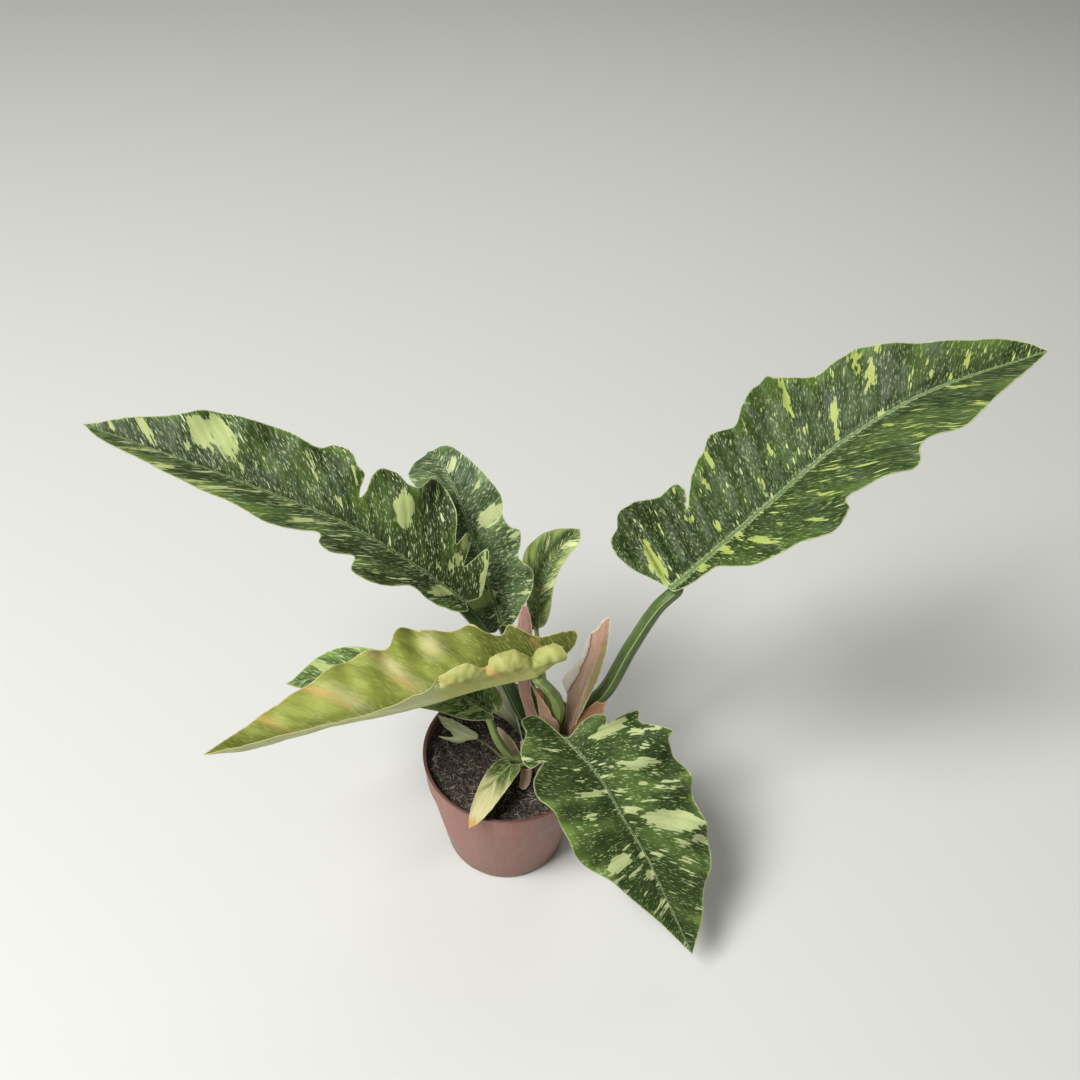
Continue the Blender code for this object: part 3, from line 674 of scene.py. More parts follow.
    def relief(self) -> Array:
        """The relief of a leaf: pleats between its veins, lumps, puffs and a groove at the rib.

        Returns:
            Height of each point over the plain bent blade.
        """
        vein, gap, reach = self.vein(), self.number("vein_gap"), self.pleat_reach()
        puff = np.abs(np.sin(math.pi * vein / gap)) ** self.PLEAT_ROUND - self.PLEAT_FLOOR
        fine = np.abs(np.sin(math.pi * vein / (gap / self.WRINKLES)))
        pleat = np.maximum(self.value("pleat"), 0)
        height = pleat * puff * reach
        height += self.WRINKLE * pleat * fine * reach
        height += self.lumps(self.LUMPS, 0)
        height += self.lumps(self.MARGIN_LUMPS, 7) * (1 - eased(self.edge, 0, self.MARGIN_REACH))
        start = self.value("roll_from")
        rolled = eased(self.out, start, start + self.ROLL_REACH)
        height += rolled * self.lumps(self.ROLL_LUMPS, 5)
        height -= self.BULGE * self.number("puff") * rolled * (self.swing() - self.BULGE_FLOOR)
        depth, place, width = self.GUTTER
        height -= depth * np.exp(-(((self.out - place) / width) ** 2))
        crest, width, loss = self.CREST
        crest = crest * (1 - loss * self.share) * np.exp(-((self.out / width) ** 2))
        return height + crest * (self.x > 0)

    def pleat_reach(self) -> Array:
        """How much of the pleats' height shows at each point."""
        near_edge = self.PLEAT_LEAST + (1 - self.PLEAT_LEAST) * eased(self.edge, *self.PLEAT_IN)
        return eased(self.out, *self.PLEAT_OUT) * near_edge

    def crease_shade(self) -> Array:
        """Finds the grooves between the pleats and the pinches of a rolled edge, where the leaf
        finish paints shade.

        Returns:
            How deep in one each point lies, from 0 to 1.
        """
        groove = 1 - np.abs(np.sin(math.pi * self.vein() / self.number("vein_gap")))
        high = np.clip(self.value("pleat") / self.FULL_PLEAT, 0, 1)
        pinch = (1 - self.swing()) ** 3 * np.minimum(self.number("puff"), 1)
        start = self.value("roll_from")
        rolled = eased(self.out, start - self.ROLL_SHADE, start)
        return np.maximum(groove**4 * high * self.pleat_reach(), pinch * rolled)

    def swing(self) -> Array:
        """1 in the middle of a puff of the rolled edge, and 0 in a pinch."""
        wave = np.sin(math.pi * (self.x - self.PUFF_START) / self.PUFF)
        return np.abs(wave) ** self.PUFF_ROUND

    def depth_in(self, name: str) -> Array:
        """Finds the marks of each half.

        Args:
            name: The field that holds the marks.

        Returns:
            How far inside one each point lies, in millimetres of the mark's width.
        """
        best = np.full(len(self.x), self.OUTSIDE)
        for sign, half in ((1, self.blade.left), (-1, self.blade.right)):
            other_half = np.where(sign * self.y >= -0.01, 0.0, 1e3)  # rules its points out
            for along, across, long, wide in getattr(half, name):
                share = min(max(along / self.rib.length, 0.0), 1.0)
                lean = half.lean[0] * (1 - share) + half.lean[1] * share
                if self.blade.growth is Growth.LONG:
                    lean = self.ALONG
                size = math.hypot(lean, 1.0)
                dx, dy = self.x - along, self.out - across
                s = (dx * lean + dy) / size / long
                t = (dx - dy * lean) / size / wide
                depth = (1 - np.hypot(s, t)) * max(wide, self.NARROWEST)
                best = np.maximum(best, depth - other_half)
        ragged = self.RAGGED * clouds(self.flat, self.RAGGED_SIZE, self.blade.seed + 3)
        return np.maximum(best + ragged, self.OUTSIDE)

    def mesh(self, material: Material) -> Mesh:
        """Upper face, underside and margin as one closed mesh.

        Args:
            material: The blade's finish.

        Returns:
            The mesh in metres.
        """
        top = self.bent()
        normals = self.normals(top)
        relief = self.strands if self.blade.growth is Growth.LONG else self.relief
        top = top + relief()[:, None] * normals
        normals = self.normals(top)
        gain = self.blade.thickness - self.EDGE_THICKNESS
        thick = self.EDGE_THICKNESS + gain * eased(self.edge, 0.0, self.EDGE_REACH)
        swell = self.blade.rib_thickness * (1 - self.RIB_TAPER * self.share)
        bulge = np.maximum(swell - self.blade.thickness, 0)
        bulge *= np.exp(-((self.y / self.RIB_WIDTH) ** 2))
        bulge *= eased(self.x, *self.RIB_ENDS) * eased(self.edge, 0.0, self.RIB_FADE)
        bottom = top - (thick + bulge)[:, None] * normals
        count, ring = len(top), len(self.ring)
        after = (np.arange(ring) + 1) % ring
        rim = np.column_stack([np.arange(ring) + count, after + count, after, np.arange(ring)])
        faces = [*self.faces.tolist(), *(self.faces[:, ::-1] + count).tolist(), *rim.tolist()]
        side = self.SIDES_APART * (self.y >= 0)
        flat = np.column_stack([self.vein(), self.out, self.blade.seed + side])
        if self.blade.growth is Growth.LONG:
            flat = np.column_stack([self.flat, np.full(count, self.blade.seed)])
        marks = np.column_stack([self.depth_in("patches"), self.edge, self.share])
        attributes = {
            "flat": np.vstack([flat, flat]),
            "marks": np.vstack([marks, marks]),
            "tint": np.tile(self.depth_in("blushes"), 2),
            "under": np.repeat([0.0, 1.0], count),
            "crease_shade": np.tile(self.crease_shade(), 2),
        }
        return mesh_from(self.blade.name, np.vstack([top, bottom]), faces, attributes, material)

    def normals(self, points: Array) -> Array:
        """The directions that the upper face looks.

        Args:
            points: The place of each of the mesh's points.

        Returns:
            Its normal at each of them.
        """
        a, b, c = (points[self.faces[:, k]] for k in range(3))
        around = np.cross(b - a, c - a)
        total = np.zeros_like(points)
        for k in range(3):
            np.add.at(total, self.faces[:, k], around)
        return unit(total)


@dataclass(frozen=True)
class LeafFinish:
    """Live philodendron leaf: waxy, with pale cells scattered along its side veins.

    The wax gives a soft broken sheen over dark green. Grain sizes are real: flecks are 0.5 mm wide,
    dashes 1 to 2 mm, and the cream patches end in points that follow the veins.
    """

    name: str
    deep: str = "#23320f"
    fresh: str = "#3a4d1b"
    glow: str = "#66822c"  # the lighter green towards the margin
    glowing: float = 0.45
    # dark green painted as shade towards the joint, beside the rib and in the creases
    foot: str = "#1c290c"
    foot_shading: float = 0.4
    hazing: float = 0.16
    # how strongly shade is painted in the creases
    crease_shading: float = 0.8
    fleck: str = "#8c9c70"
    dash: str = "#b2be8a"
    cream: str = "#b4be86"
    cream_shade: str = "#8d9e66"
    rib: str = "#4c6134"
    bead: str = "#98a878"
    rib_width: Pair = (1.2, 0.35)
    margin: str = "#a3ae80"
    edging: float = 0.9  # how much of the margin's colour its edge takes
    under: str = "#7d9060"
    under_far: str = "#7d9060"  # of the outer two thirds
    blush: str = "#8f9c60"
    flecks: float = 0.75  # share of the places with one
    dashes: float = 0.28
    streaks: Pair = (0.71, 0.74)
    cream_cover: float = 1.0
    patch_edge: Pair = (-0.15, 0.15)
    blush_edge: Pair = (0.6, 4.0)
    pale_edge: float = 0.0  # width of a cream border
    pale_tip: float = 2.0  # share of the length from which the blade is cream
    pale_fade: float = 0.12  # share of the length over which it turns cream
    roughness: Pair = (0.42, 0.54)
    bump: float = 0.16

    BROAD = Grain((16.0, 30.0, 1.0), (0.4, 0.66))  # clouds of the fresher green
    CROWD = Grain((9.0, 16.0, 1.0), (0.35, 0.7))  # places with many flecks
    HAZE = Grain((0.8, 4.0, 1.0), (0.45, 0.7), 3.0)  # fine pale lines along the veins
    RAGGED = Grain((1.6, 7.0, 1.0), (0.25, 0.75), 3.0)  # points of a patch's outline
    MOTTLE = Grain((1.2, 6.0, 1.0), (0.48, 0.66), 3.0)  # green that shows through the cream
    BROKEN = Grain((1.8, 0.7, 1.0), (0.4, 0.6))  # beads of the lines beside the rib
    SHEEN = Grain((1.4, 4.0, 1.0), (0.3, 0.7), 3.0)
    CELLS, CELL_DEPTH = Grain((0.9, 2.2, 1.0), (0.2, 0.8), 3.0), 0.4
    FLECK_SIZE, FLECK_RADIUS = (0.62, 2.2, 1.0), 0.6
    DASH_SIZE, DASH_RADIUS = (1.5, 5.6, 1.0), 0.55
    STREAK_SIZE = (2.0, 8.0, 1.0)
    THICK, THIN = (-0.9, 0.7), (-0.1, 0.7)  # how flecks and dashes follow the crowding
    WANDER = 3.0  # how far the points of a patch reach, in millimetres
    TIP_DRIFT = 0.25  # how far the crowding shifts the pale tip, as a share of the length
    GLOW_DRIFT = -6.0  # how far the clouds shift the margin's green, in millimetres
    BLEND = 0.6  # width of a cream border's edge
    GLOW_REACH = (4.0, -6.0)  # from a dark middle to a light margin
    FOOT_REACH = (0.3, 0.0)  # shares of the length, from plain to painted shade
    RIB_SHADE = (15.0, 2.0)  # distances from the rib, from plain to dark
    RIM = (0.65, 0.3)  # distances from the edge, from plain to pale
    FAR = (0.24, 0.34)  # shares of the length at which the underside turns
    LINE, LINE_WIDTH = 0.9, 0.45  # shares of the rib's width
    UNDER_ROUGHER = 0.15
    SPECULAR = 0.26

    def build(self) -> Material:
        """Makes the material.

        Returns:
            The material, which reads the blade's attributes.
        """
        coat = Coat(self.name, "flat", "marks", "tint", "under", "crease_shade")
        add, grain = coat.add, coat.grain
        flat, marks, tint, under, crease_shade = coat.read
        depth, edge, share = add(SPLIT, (marks,)).outputs
        _, out, _ = add(SPLIT, (flat,)).outputs

        broad, crowd = grain(self.BROAD), grain(self.CROWD)
        thick = add(RANGE, (crowd, *self.THICK), **SOFT)
        thin = add(RANGE, (crowd, *self.THIN), **SOFT)
        haze = grain(self.HAZE)
        fleck = coat.specks(self.FLECK_SIZE, self.flecks, self.FLECK_RADIUS)
        dash = coat.specks(self.DASH_SIZE, self.dashes, self.DASH_RADIUS)
        streak = grain(Grain(self.STREAK_SIZE, self.streaks))
        ragged = (grain(self.RAGGED), self.WANDER, -self.WANDER / 2)
        wander = add(MATH, ragged, **TIMES_PLUS)
        depth = add(MATH, (wander, depth), operation="ADD")
        patch = add(RANGE, (depth, *self.patch_edge), **SOFT)
        border = add(MATH, (wander, self.pale_edge), operation="ADD")
        border = add(MATH, (border, edge), operation="SUBTRACT")
        border = add(RANGE, (border, 0.0, self.BLEND), **SOFT)
        tip = add(MATH, (crowd, self.TIP_DRIFT, share), **TIMES_PLUS)
        tip = add(RANGE, (tip, self.pale_tip, self.pale_tip + self.pale_fade), **SOFT)
        glow = add(MATH, (broad, self.GLOW_DRIFT, edge), **TIMES_PLUS)
        glow = add(RANGE, (glow, *self.GLOW_REACH), **SOFT)
        blushed = add(MATH, (crowd, self.WANDER, tint), **TIMES_PLUS)
        blushed = add(RANGE, (blushed, *self.blush_edge), **SOFT)
        foot_width, tip_width = self.rib_width
        width = add(MATH, (share, tip_width - foot_width, foot_width), **TIMES_PLUS)
        across = add(MATH, (out, width), operation="DIVIDE")
        lines = add(MATH, (across, self.LINE, self.LINE_WIDTH), operation="COMPARE")
        beads = add(MATH, (lines, grain(self.BROKEN)), operation="MULTIPLY")

        cream = coat.layered(self.cream, [(grain(self.MOTTLE), self.cream_shade, 0.32)])
        upper = coat.layered(
            self.deep,
            [
                (broad, self.fresh, 1.0),
                (glow, self.glow, self.glowing),
                # painted shade towards the joint
                (add(RANGE, (share, *self.FOOT_REACH), **SOFT), self.foot, self.foot_shading),
                (add(RANGE, (out, *self.RIB_SHADE), **SOFT), self.foot, 0.5),
                (haze, self.fleck, self.hazing),
                (fleck, self.fleck, thick),
                (dash, self.dash, thin),
                (streak, cream, 1.0),
                (border, cream, 1.0),
                (tip, cream, 1.0),
                (patch, cream, self.cream_cover),
                (blushed, self.blush, 0.9 * self.cream_cover),
                # painted shade in the grooves between pleats and in the pinches of the rolled edge
                (crease_shade, self.foot, self.crease_shading),
                (add(RANGE, (across, 1.0, 0.6), **SOFT), self.rib, 0.8),
                (beads, self.bead, 0.8),
            ],
        )
        lower = coat.layered(
            self.under,
            [
                (broad, self.margin, 0.5),
                (haze, self.margin, self.hazing),
                (add(RANGE, (share, *self.FAR), **SOFT), self.under_far, 1.0),
                (patch, self.cream, 0.8),
                (blushed, self.blush, 0.8),
            ],
        )
        rim = add(RANGE, (edge, *self.RIM), **SOFT)
        colour = coat.layered(upper, [(under, lower, 1.0), (rim, self.margin, self.edging)])

        rough = add(RANGE, (grain(self.SHEEN), 0.0, 1.0, *self.roughness))
        rough = add(MATH, (under, self.UNDER_ROUGHER, rough), **TIMES_PLUS)
        feed(coat.shader, {"IOR": WAX_IOR, "Specular IOR Level": self.SPECULAR})
        return coat.finish(colour, rough, grain(self.CELLS), self.bump, self.CELL_DEPTH)


@dataclass(frozen=True)
class SheathFinish:
    """Papery leaf sheath: thin dry skin over long strands, pale and translucent at its margin."""

    name: str
    foot: str
    middle: str
    tip: str
    # colour of the strands, also painted as shade in the crease along a flap's edge
    strand_and_seam_shade: str
    margin: str
    outside: str
    turn: Pair = (0.3, 0.75)  # shares of the length at which foot and middle give way
    lining: float = 0.6  # how much of the outside's colour its underside takes
    roughness: float = 0.5

    CLOUD = Grain((14.0, 4.0, 1.0), (0.3, 0.7))
    STRANDS = Grain((26.0, 0.55, 1.0), (0.42, 0.66), 1.0)
    WIDE = Grain((40.0, 1.8, 1.0), (0.45, 0.62), 1.0)  # bands of strands
    MOTTLE = Grain((5.0, 2.5, 1.0), (0.5, 0.7), 3.0)
    DRIFT = 0.16  # how far the clouds shift the turns, as a share of the length
    TURNS = ((-0.12, 0.2), (-0.1, 0.2))  # shares of the length before and after each turn
    TINTED = (-0.8, 0.8)  # depths in a mark, in millimetres, from plain to full
    # depths in a mark, from plain to full: painted shade in the crease outside a flap's edge, then
    # its pale fringe
    SEAM, FRINGE = (-1.2, -0.4), (-0.4, 0.2)
    RIM = (1.1, 0.2)  # distances from the edge, from plain to pale
    RELIEF = (0.35, 0.2)  # strength and depth

    def build(self) -> Material:
        """Makes the material.

        Returns:
            The material, which reads the sheath's attributes.
        """
        coat = Coat(self.name, "flat", "marks", "tint", "under")
        add, grain = coat.add, coat.grain
        _, marks, tint, under = coat.read
        depth, edge, share = add(SPLIT, (marks,)).outputs
        place = add(MATH, (grain(self.CLOUD), self.DRIFT, share), **TIMES_PLUS)
        strands = grain(self.STRANDS)
        low, high = (
            add(RANGE, (place, turn + before, turn + after), **SOFT)
            for turn, (before, after) in zip(self.turn, self.TURNS)
        )
        colour = coat.layered(
            self.foot,
            [
                (low, self.middle, 1.0),
                (high, self.tip, 1.0),
                (add(RANGE, (tint, *self.TINTED), **SOFT), self.outside, 1.0),
                (under, self.outside, self.lining),
                (grain(self.MOTTLE), self.strand_and_seam_shade, 0.25),
                (grain(self.WIDE), self.strand_and_seam_shade, 0.3),
                (strands, self.strand_and_seam_shade, 0.35),
                # painted shade in the crease along a flap's edge
                (add(RANGE, (depth, *self.SEAM), **SOFT), self.strand_and_seam_shade, 1.0),
                (add(RANGE, (depth, *self.FRINGE), **SOFT), self.margin, 1.0),
                (add(RANGE, (edge, *self.RIM), **SOFT), self.margin, 0.8),
            ],
        )
        return coat.finish(colour, self.roughness, strands, *self.RELIEF)


@dataclass(frozen=True)
class StalkFinish:
    """Leaf stalk: smooth waxy skin with long faint stripes and a pale hairline on its ridges."""

    name: str
    dark: str
    light: str
    ridge: str
    foot: str

    STRIPES = Grain((60.0, 0.6, 0.6), (0.4, 0.68), 1.0)
    FLECKS = Grain((5.0, 0.5, 0.5), (0.64, 0.7), 1.0)
    CLOUD = Grain((25.0, 6.0, 6.0), (0.3, 0.7))
    DRIFT = 0.1  # how far the clouds shift the foot's colour, as a share of the length
    FOOT_REACH = (0.22, 0.04)  # shares of the length
    HAIRLINE = (0.55, 0.95)  # from plain to pale, where a ridge's crest is 1
    ROUGHNESS = (0.28, 0.4)
    RELIEF = (0.2, 0.2)

    def build(self) -> Material:
        """Makes the material.

        Returns:
            The material, which reads the stalk's attributes.
        """
        coat = Coat(self.name, "flat", "marks")
        add, grain = coat.add, coat.grain
        ridge, _, share = add(SPLIT, (coat.read[1],)).outputs
        stripes, cloud = grain(self.STRIPES), grain(self.CLOUD)
        low = add(MATH, (cloud, self.DRIFT, share), **TIMES_PLUS)
        colour = coat.layered(
            self.dark,
            [
                (cloud, self.light, 0.7),
                (stripes, self.light, 0.6),
                (grain(self.FLECKS), self.ridge, 0.45),
                (add(RANGE, (ridge, *self.HAIRLINE), **SOFT), self.ridge, 0.9),
                (add(RANGE, (low, *self.FOOT_REACH), **SOFT), self.foot, 0.7),
            ],
        )
        rough = add(RANGE, (cloud, 0.0, 1.0, *self.ROUGHNESS))
        feed(coat.shader, {"IOR": WAX_IOR})
        return coat.finish(colour, rough, stripes, *self.RELIEF)


@dataclass(frozen=True)
class MouldedPot:
    """Injection-moulded polypropylene, a little dusty, with faint flow marks from the gate."""

    name: str = "moulded_polypropylene"
    body: str = "#84594c"
    warm: str = "#8f6155"
    lip: str = "#5c3a32"
    dust: str = "#a08a7e"
    dark_tone: str = "#5a3d34"

    CLOUD = Grain((30.0, 30.0, 50.0), (0.3, 0.7), 3.0)
    FLOW = Grain((4.0, 4.0, 120.0), (0.35, 0.75))
    SPECK = Grain((1.6, 1.6, 1.6), (0.70, 0.78), 1.0)
    FINE = Grain((0.6, 0.6, 0.6), (0.2, 0.8))
    DARK_BELOW = 30.0  # height up to which the wall grows darker towards the bottom
    LIP = (0.9, 0.3)  # distances under the rim's top, from plain to dark
    ROUGHNESS = (0.42, 0.54)
    RELIEF = (0.18, 0.2)

    def build(self) -> Material:
        """Makes the material.

        Returns:
            The material, on object coordinates.
        """
        coat = Coat(self.name)
        add, grain = coat.add, coat.grain
        _, _, height = add(SPLIT, (coat.read[0],)).outputs
        cloud = grain(self.CLOUD)
        bottom_dark = add(RANGE, (height, self.DARK_BELOW * MM, 0.0), **SOFT)
        rim = add(RANGE, (height, *((POT.rim_top - down) * MM for down in self.LIP)), **SOFT)
        colour = coat.layered(
            self.body,
            [
                (cloud, self.warm, 1.0),
                (grain(self.FLOW), self.dust, 0.2),
                # darker towards the bottom
                (bottom_dark, self.dark_tone, 0.3),
                (grain(self.SPECK), self.dark_tone, 0.3),
                (rim, self.lip, 0.9),
            ],
        )
        rough = add(RANGE, (cloud, 0.0, 1.0, *self.ROUGHNESS))
        return coat.finish(colour, rough, grain(self.FINE), *self.RELIEF)


@dataclass(frozen=True)
class EarthFinish:
    """Peat potting mix or one of its grains: dark, crumbly and without any sheen."""

    name: str
    dark: str
    light: str
    size: float = 2.5
    roughness: float = 0.95

    LUMPS, DUST = (0.38, 0.7), (0.55, 0.75)  # limits of their noise
    RELIEF = (0.8, 1.0)

    def build(self) -> Material:
        """Makes the material.

        Returns:
            The material, on object coordinates.
        """
        coat = Coat(self.name)
        crumb = coat.grain(Grain((self.size,) * 3, self.LUMPS, 4.0))
        dust = coat.grain(Grain((self.size / 4,) * 3, self.DUST))
        colour = coat.layered(self.dark, [(crumb, self.light, 1.0), (dust, self.light, 0.5)])
        return coat.finish(colour, self.roughness, crumb, *self.RELIEF)


@dataclass(frozen=True)
class Stalk:
    """A leaf stalk, from the stem to its blade's joint."""

    name: str
    slot: str
    points: tuple[Triple, ...]  # without the end at the blade, which is worked out
    radii: Triple  # at the stem, where it is thickest and at the blade
    front: Triple  # the way that its grooved side looks

    SIDES = 32
    RIDGES = (4, 11, 28)  # points of a ring
    STEP = 1.6
    JOINT = 2.0
    GAP = 0.3
    TUCK = 0.45  # depth in the rib that its end reaches, as a share of the rib's thickness
    THICKEST = 0.22  # share of its length
    NECK = (0.10, 9.0)  # how much it swells at the blade, and over what length
    TAPER = (0.55, 1.5)  # how much its end narrows, and over how many radii
    RIDGE = (0.07, 0.75, 0.2)  # height, angle from its front and width
    GROOVE = (0.10, 0.5)  # depth and width of the hollow between the ridges

    def build(self, blade: Blade, material: Material) -> Object:
        """A tapering stalk with two ridges and a swollen neck.

        Args:
            blade: The blade that it carries.
            material: The stalk's finish.

        Returns:
            The piece.
        """
        rib = Rib(blade.rib, blade.faces)
        place = np.array([self.JOINT])
        _, face, _ = rib.frame(place)
        rise = unit(rib.point(place) - np.array(self.points[-1]))
        tilt = math.sqrt(max(0.0, 1 - float(np.sum(rise * face)) ** 2))
        drop = blade.rib_thickness + 2 * self.GAP + self.radii[2] * tilt
        end, tuck = (
            tuple((rib.point(place) - depth * face)[0])
            for depth in (drop, self.TUCK * blade.rib_thickness)
        )
        route = smooth([*self.points, end, tuck], self.STEP)
        runs = np.concatenate([[0], np.cumsum(np.linalg.norm(np.diff(route, axis=0), axis=1))])
        length = runs[-1]
        share = runs / length
        radius = np.interp(share, (0.0, self.THICKEST, 1.0), self.radii)
        swelling, reach = self.NECK
        radius *= 1 + swelling * np.exp(-(((length - runs) / reach) ** 2))
        narrowing, reach = self.TAPER
        radius *= 1 - narrowing * eased(runs, length - reach * self.radii[2], length)
        forward = unit(np.gradient(route, axis=0))
        side = unit(np.cross(np.array(self.front), forward))
        front = np.cross(forward, side)
        angles = np.linspace(0, math.tau, self.SIDES, endpoint=False)
        height, angle, width = self.RIDGE
        shape = np.ones(self.SIDES)
        for place in (angle, math.tau - angle):
            shape += height * np.exp(-(((angles - place) / width) ** 2))
        depth, width = self.GROOVE
        shape -= depth * np.exp(-((np.minimum(angles, math.tau - angles) / width) ** 2))
        ridge = np.isin(np.arange(self.SIDES), self.RIDGES).astype(float)
        rings = (
            route[:, None]
            + (radius[:, None] * shape * np.sin(angles))[..., None] * side[:, None]
            + (radius[:, None] * shape * np.cos(angles))[..., None] * front[:, None]
        )
        count, sides = len(route), self.SIDES
        index = np.arange(count * sides).reshape(count, sides)
        turned = np.roll(index, -1, axis=1)
        walls = np.stack([index[:-1], turned[:-1], turned[1:], index[1:]], axis=-1).reshape(-1, 4)
        faces = [*walls.tolist(), index[0, ::-1].tolist(), index[-1].tolist()]
        around = [np.tile(self.radii[0] * turn(angles), count) for turn in (np.sin, np.cos)]
        flat = np.column_stack([np.repeat(runs, sides), *around])
        marks = np.column_stack(
            [np.tile(ridge, count), np.zeros(count * sides), np.repeat(share, sides)]
        )
        attributes = {"flat": flat, "marks": marks}
        mesh = mesh_from(self.name, rings.reshape(-1, 3), faces, attributes, material)
        fix_normals(mesh)
        return add_piece(f"{self.name}_fine", mesh, [self.name], self.slot)


def fix_normals(mesh: Mesh) -> None:
    """Points all faces outwards.

    Args:
        mesh: A closed mesh, which is changed.
    """
    shape = bmesh.new()
    shape.from_mesh(mesh)
    bmesh.ops.recalc_face_normals(shape, faces=shape.faces)
    shape.to_mesh(mesh)
    shape.free()


def lathe(
    name: str, profile: Sequence[Pair], sides: int, material: Material, sharp: float = SHARP
) -> Mesh:
    """Turns a profile of radius and height round the Z axis.

    Args:
        name: The mesh's name.
        profile: Radius and height; a radius of 0 closes an end.
        sides: Faces in one turn.
        material: The mesh's finish.
        sharp: Edges that bend more than this many degrees stay sharp.

    Returns:
        The mesh, its normals outwards.
    """
    angles = np.linspace(0, math.tau, sides, endpoint=False)
    points: list[Triple] = []
    rows: list[list[int]] = []
    for radius, height in profile:
        start = len(points)
        if radius == 0:
            points.append((0.0, 0.0, height))
            rows.append([start] * sides)
            continue
        points += [(radius * math.cos(a), radius * math.sin(a), height) for a in angles]
        rows.append(list(range(start, start + sides)))
    faces = []
    for low, high in zip(rows, rows[1:]):
        for k in range(sides):
            after = (k + 1) % sides
            corners = [low[k], low[after], high[after], high[k]]
            faces.append(list(dict.fromkeys(corners)))
    mesh = mesh_from(name, np.array(points), faces, {}, material, sharp)
    fix_normals(mesh)
    return mesh


@dataclass(frozen=True)
class NurseryPot:
    """Round tapered pot with a collar, a thin lip and drain slots in its base corner."""

    rim_radius: float = 60.0
    rim_top: float = 99.2
    lip_height: float = 2.4
    collar_bottom: float = 77.0
    collar_radius: float = 58.2
    step_top: float = 75.0
    step_radius: float = 56.9
    base_radius: float = 43.4
    wall: float = 1.2
    rim_wall: float = 1.0
    floor: float = 1.6
    edge: float = 0.5
    sides: int = 192
    drain_slots: int = 8
    drain_slot: Triple = (9.0, 9.0, 4.0)

    def inner_radius(self, height: float) -> float:
        """The inside of the wall.

        Args:
            height: The height that it is read at.

        Returns:
            Its radius there.
        """
        if height >= self.collar_bottom:
            share = (height - self.collar_bottom) / (self.rim_top - self.collar_bottom)
            widening = self.rim_radius - self.rim_wall - self.collar_radius
            return self.collar_radius - self.wall + share * widening
        share = height / self.step_top
        radius = self.base_radius + share * (self.step_radius - self.base_radius)
        return min(radius, self.step_radius) - self.wall

    def profile(self) -> list[Pair]:
        """The outline of the wall, whose corners are rounded in steps of the edge's radius.

        Returns:
            Radius and height of its points: the inside, the rim and then the outside.
        """
        e, top, out, inner = self.edge, self.rim_top, self.rim_radius, self.inner_radius
        lip, collar, step = top - self.lip_height, self.collar_bottom, self.step_top
        wide, waist, base = self.collar_radius, self.step_radius, self.base_radius
        inside = [
            (0.0, self.floor),
            (inner(0) - 2 * e, self.floor),
            (inner(self.floor + 2 * e), self.floor + 2 * e),
            (inner(step), step),
            (inner(collar), collar),
            (inner(top), top - e),
        ]
        rim = [
            (inner(top) + 0.15 * e, top - 0.4 * e),
            (inner(top) + e, top),
            (out - e, top),
            (out - 0.15 * e, top - 0.4 * e),
            (out, top - e),
            (out, lip + 1.6 * e),
            (out - 0.6 * e, lip + 0.5 * e),
            (out - 2 * e, lip),
        ]
        outside = [
            (wide + 0.1, collar + 3 * e),
            (wide, collar + e),
            (wide - 0.3 * e, collar + 0.2 * e),
            (wide - e, collar - 0.3 * e),
            (waist + 0.1, step + 0.6 * e),
            (waist, step - e),
            (base + 1.6 * e, 5 * e),
            (base + e, 2.6 * e),
            (base + 0.2 * e, 0.8 * e),
            (base - e, 0.0),
            (0.0, 0.0),
        ]
        return inside + rim + outside

    def build(self) -> Object:
        """Turns the pot and cuts out its drain slots.

        Returns:
            The piece.
        """
        mesh = lathe("pot_body", self.profile(), self.sides, MouldedPot().build())
        body = new_object("pot_body", mesh)
        slots = bmesh.new()
        across, inwards, up = self.drain_slot
        for k in range(self.drain_slots):
            angle = math.tau * (k + 0.5) / self.drain_slots
            out = Matrix.Translation((self.base_radius * MM, 0, 0))
            size = Matrix.Diagonal((inwards * MM, across * MM, up * MM, 1.0))
            place = Matrix.Rotation(angle, 4, "Z") @ out @ size
            bmesh.ops.create_cube(slots, size=1.0, matrix=place)
        cut_mesh = bpy.data.meshes.new("slots")
        slots.to_mesh(cut_mesh)
        slots.free()
        cutter = new_object("slots", cut_mesh)
        cut = body.modifiers.new("slots", "BOOLEAN")
        cut.object = cutter
        result = evaluated_mesh(body)
        for obj in (body, cutter):
            bpy.data.objects.remove(obj, do_unlink=True)
        result.shade_smooth()
        result.set_sharp_from_angle(angle=math.radians(SHARP))
        return add_piece("pot_moulded", result, ["pot"], "pot")


def evaluated_mesh(obj: Object) -> Mesh:
    """Applies an object's modifiers.

    Args:
        obj: The object, linked to the scene.

    Returns:
        A new mesh.
    """
    bpy.context.view_layer.update()
    graph = bpy.context.evaluated_depsgraph_get()
    return bpy.data.meshes.new_from_object(obj.evaluated_get(graph))


POT = NurseryPot()


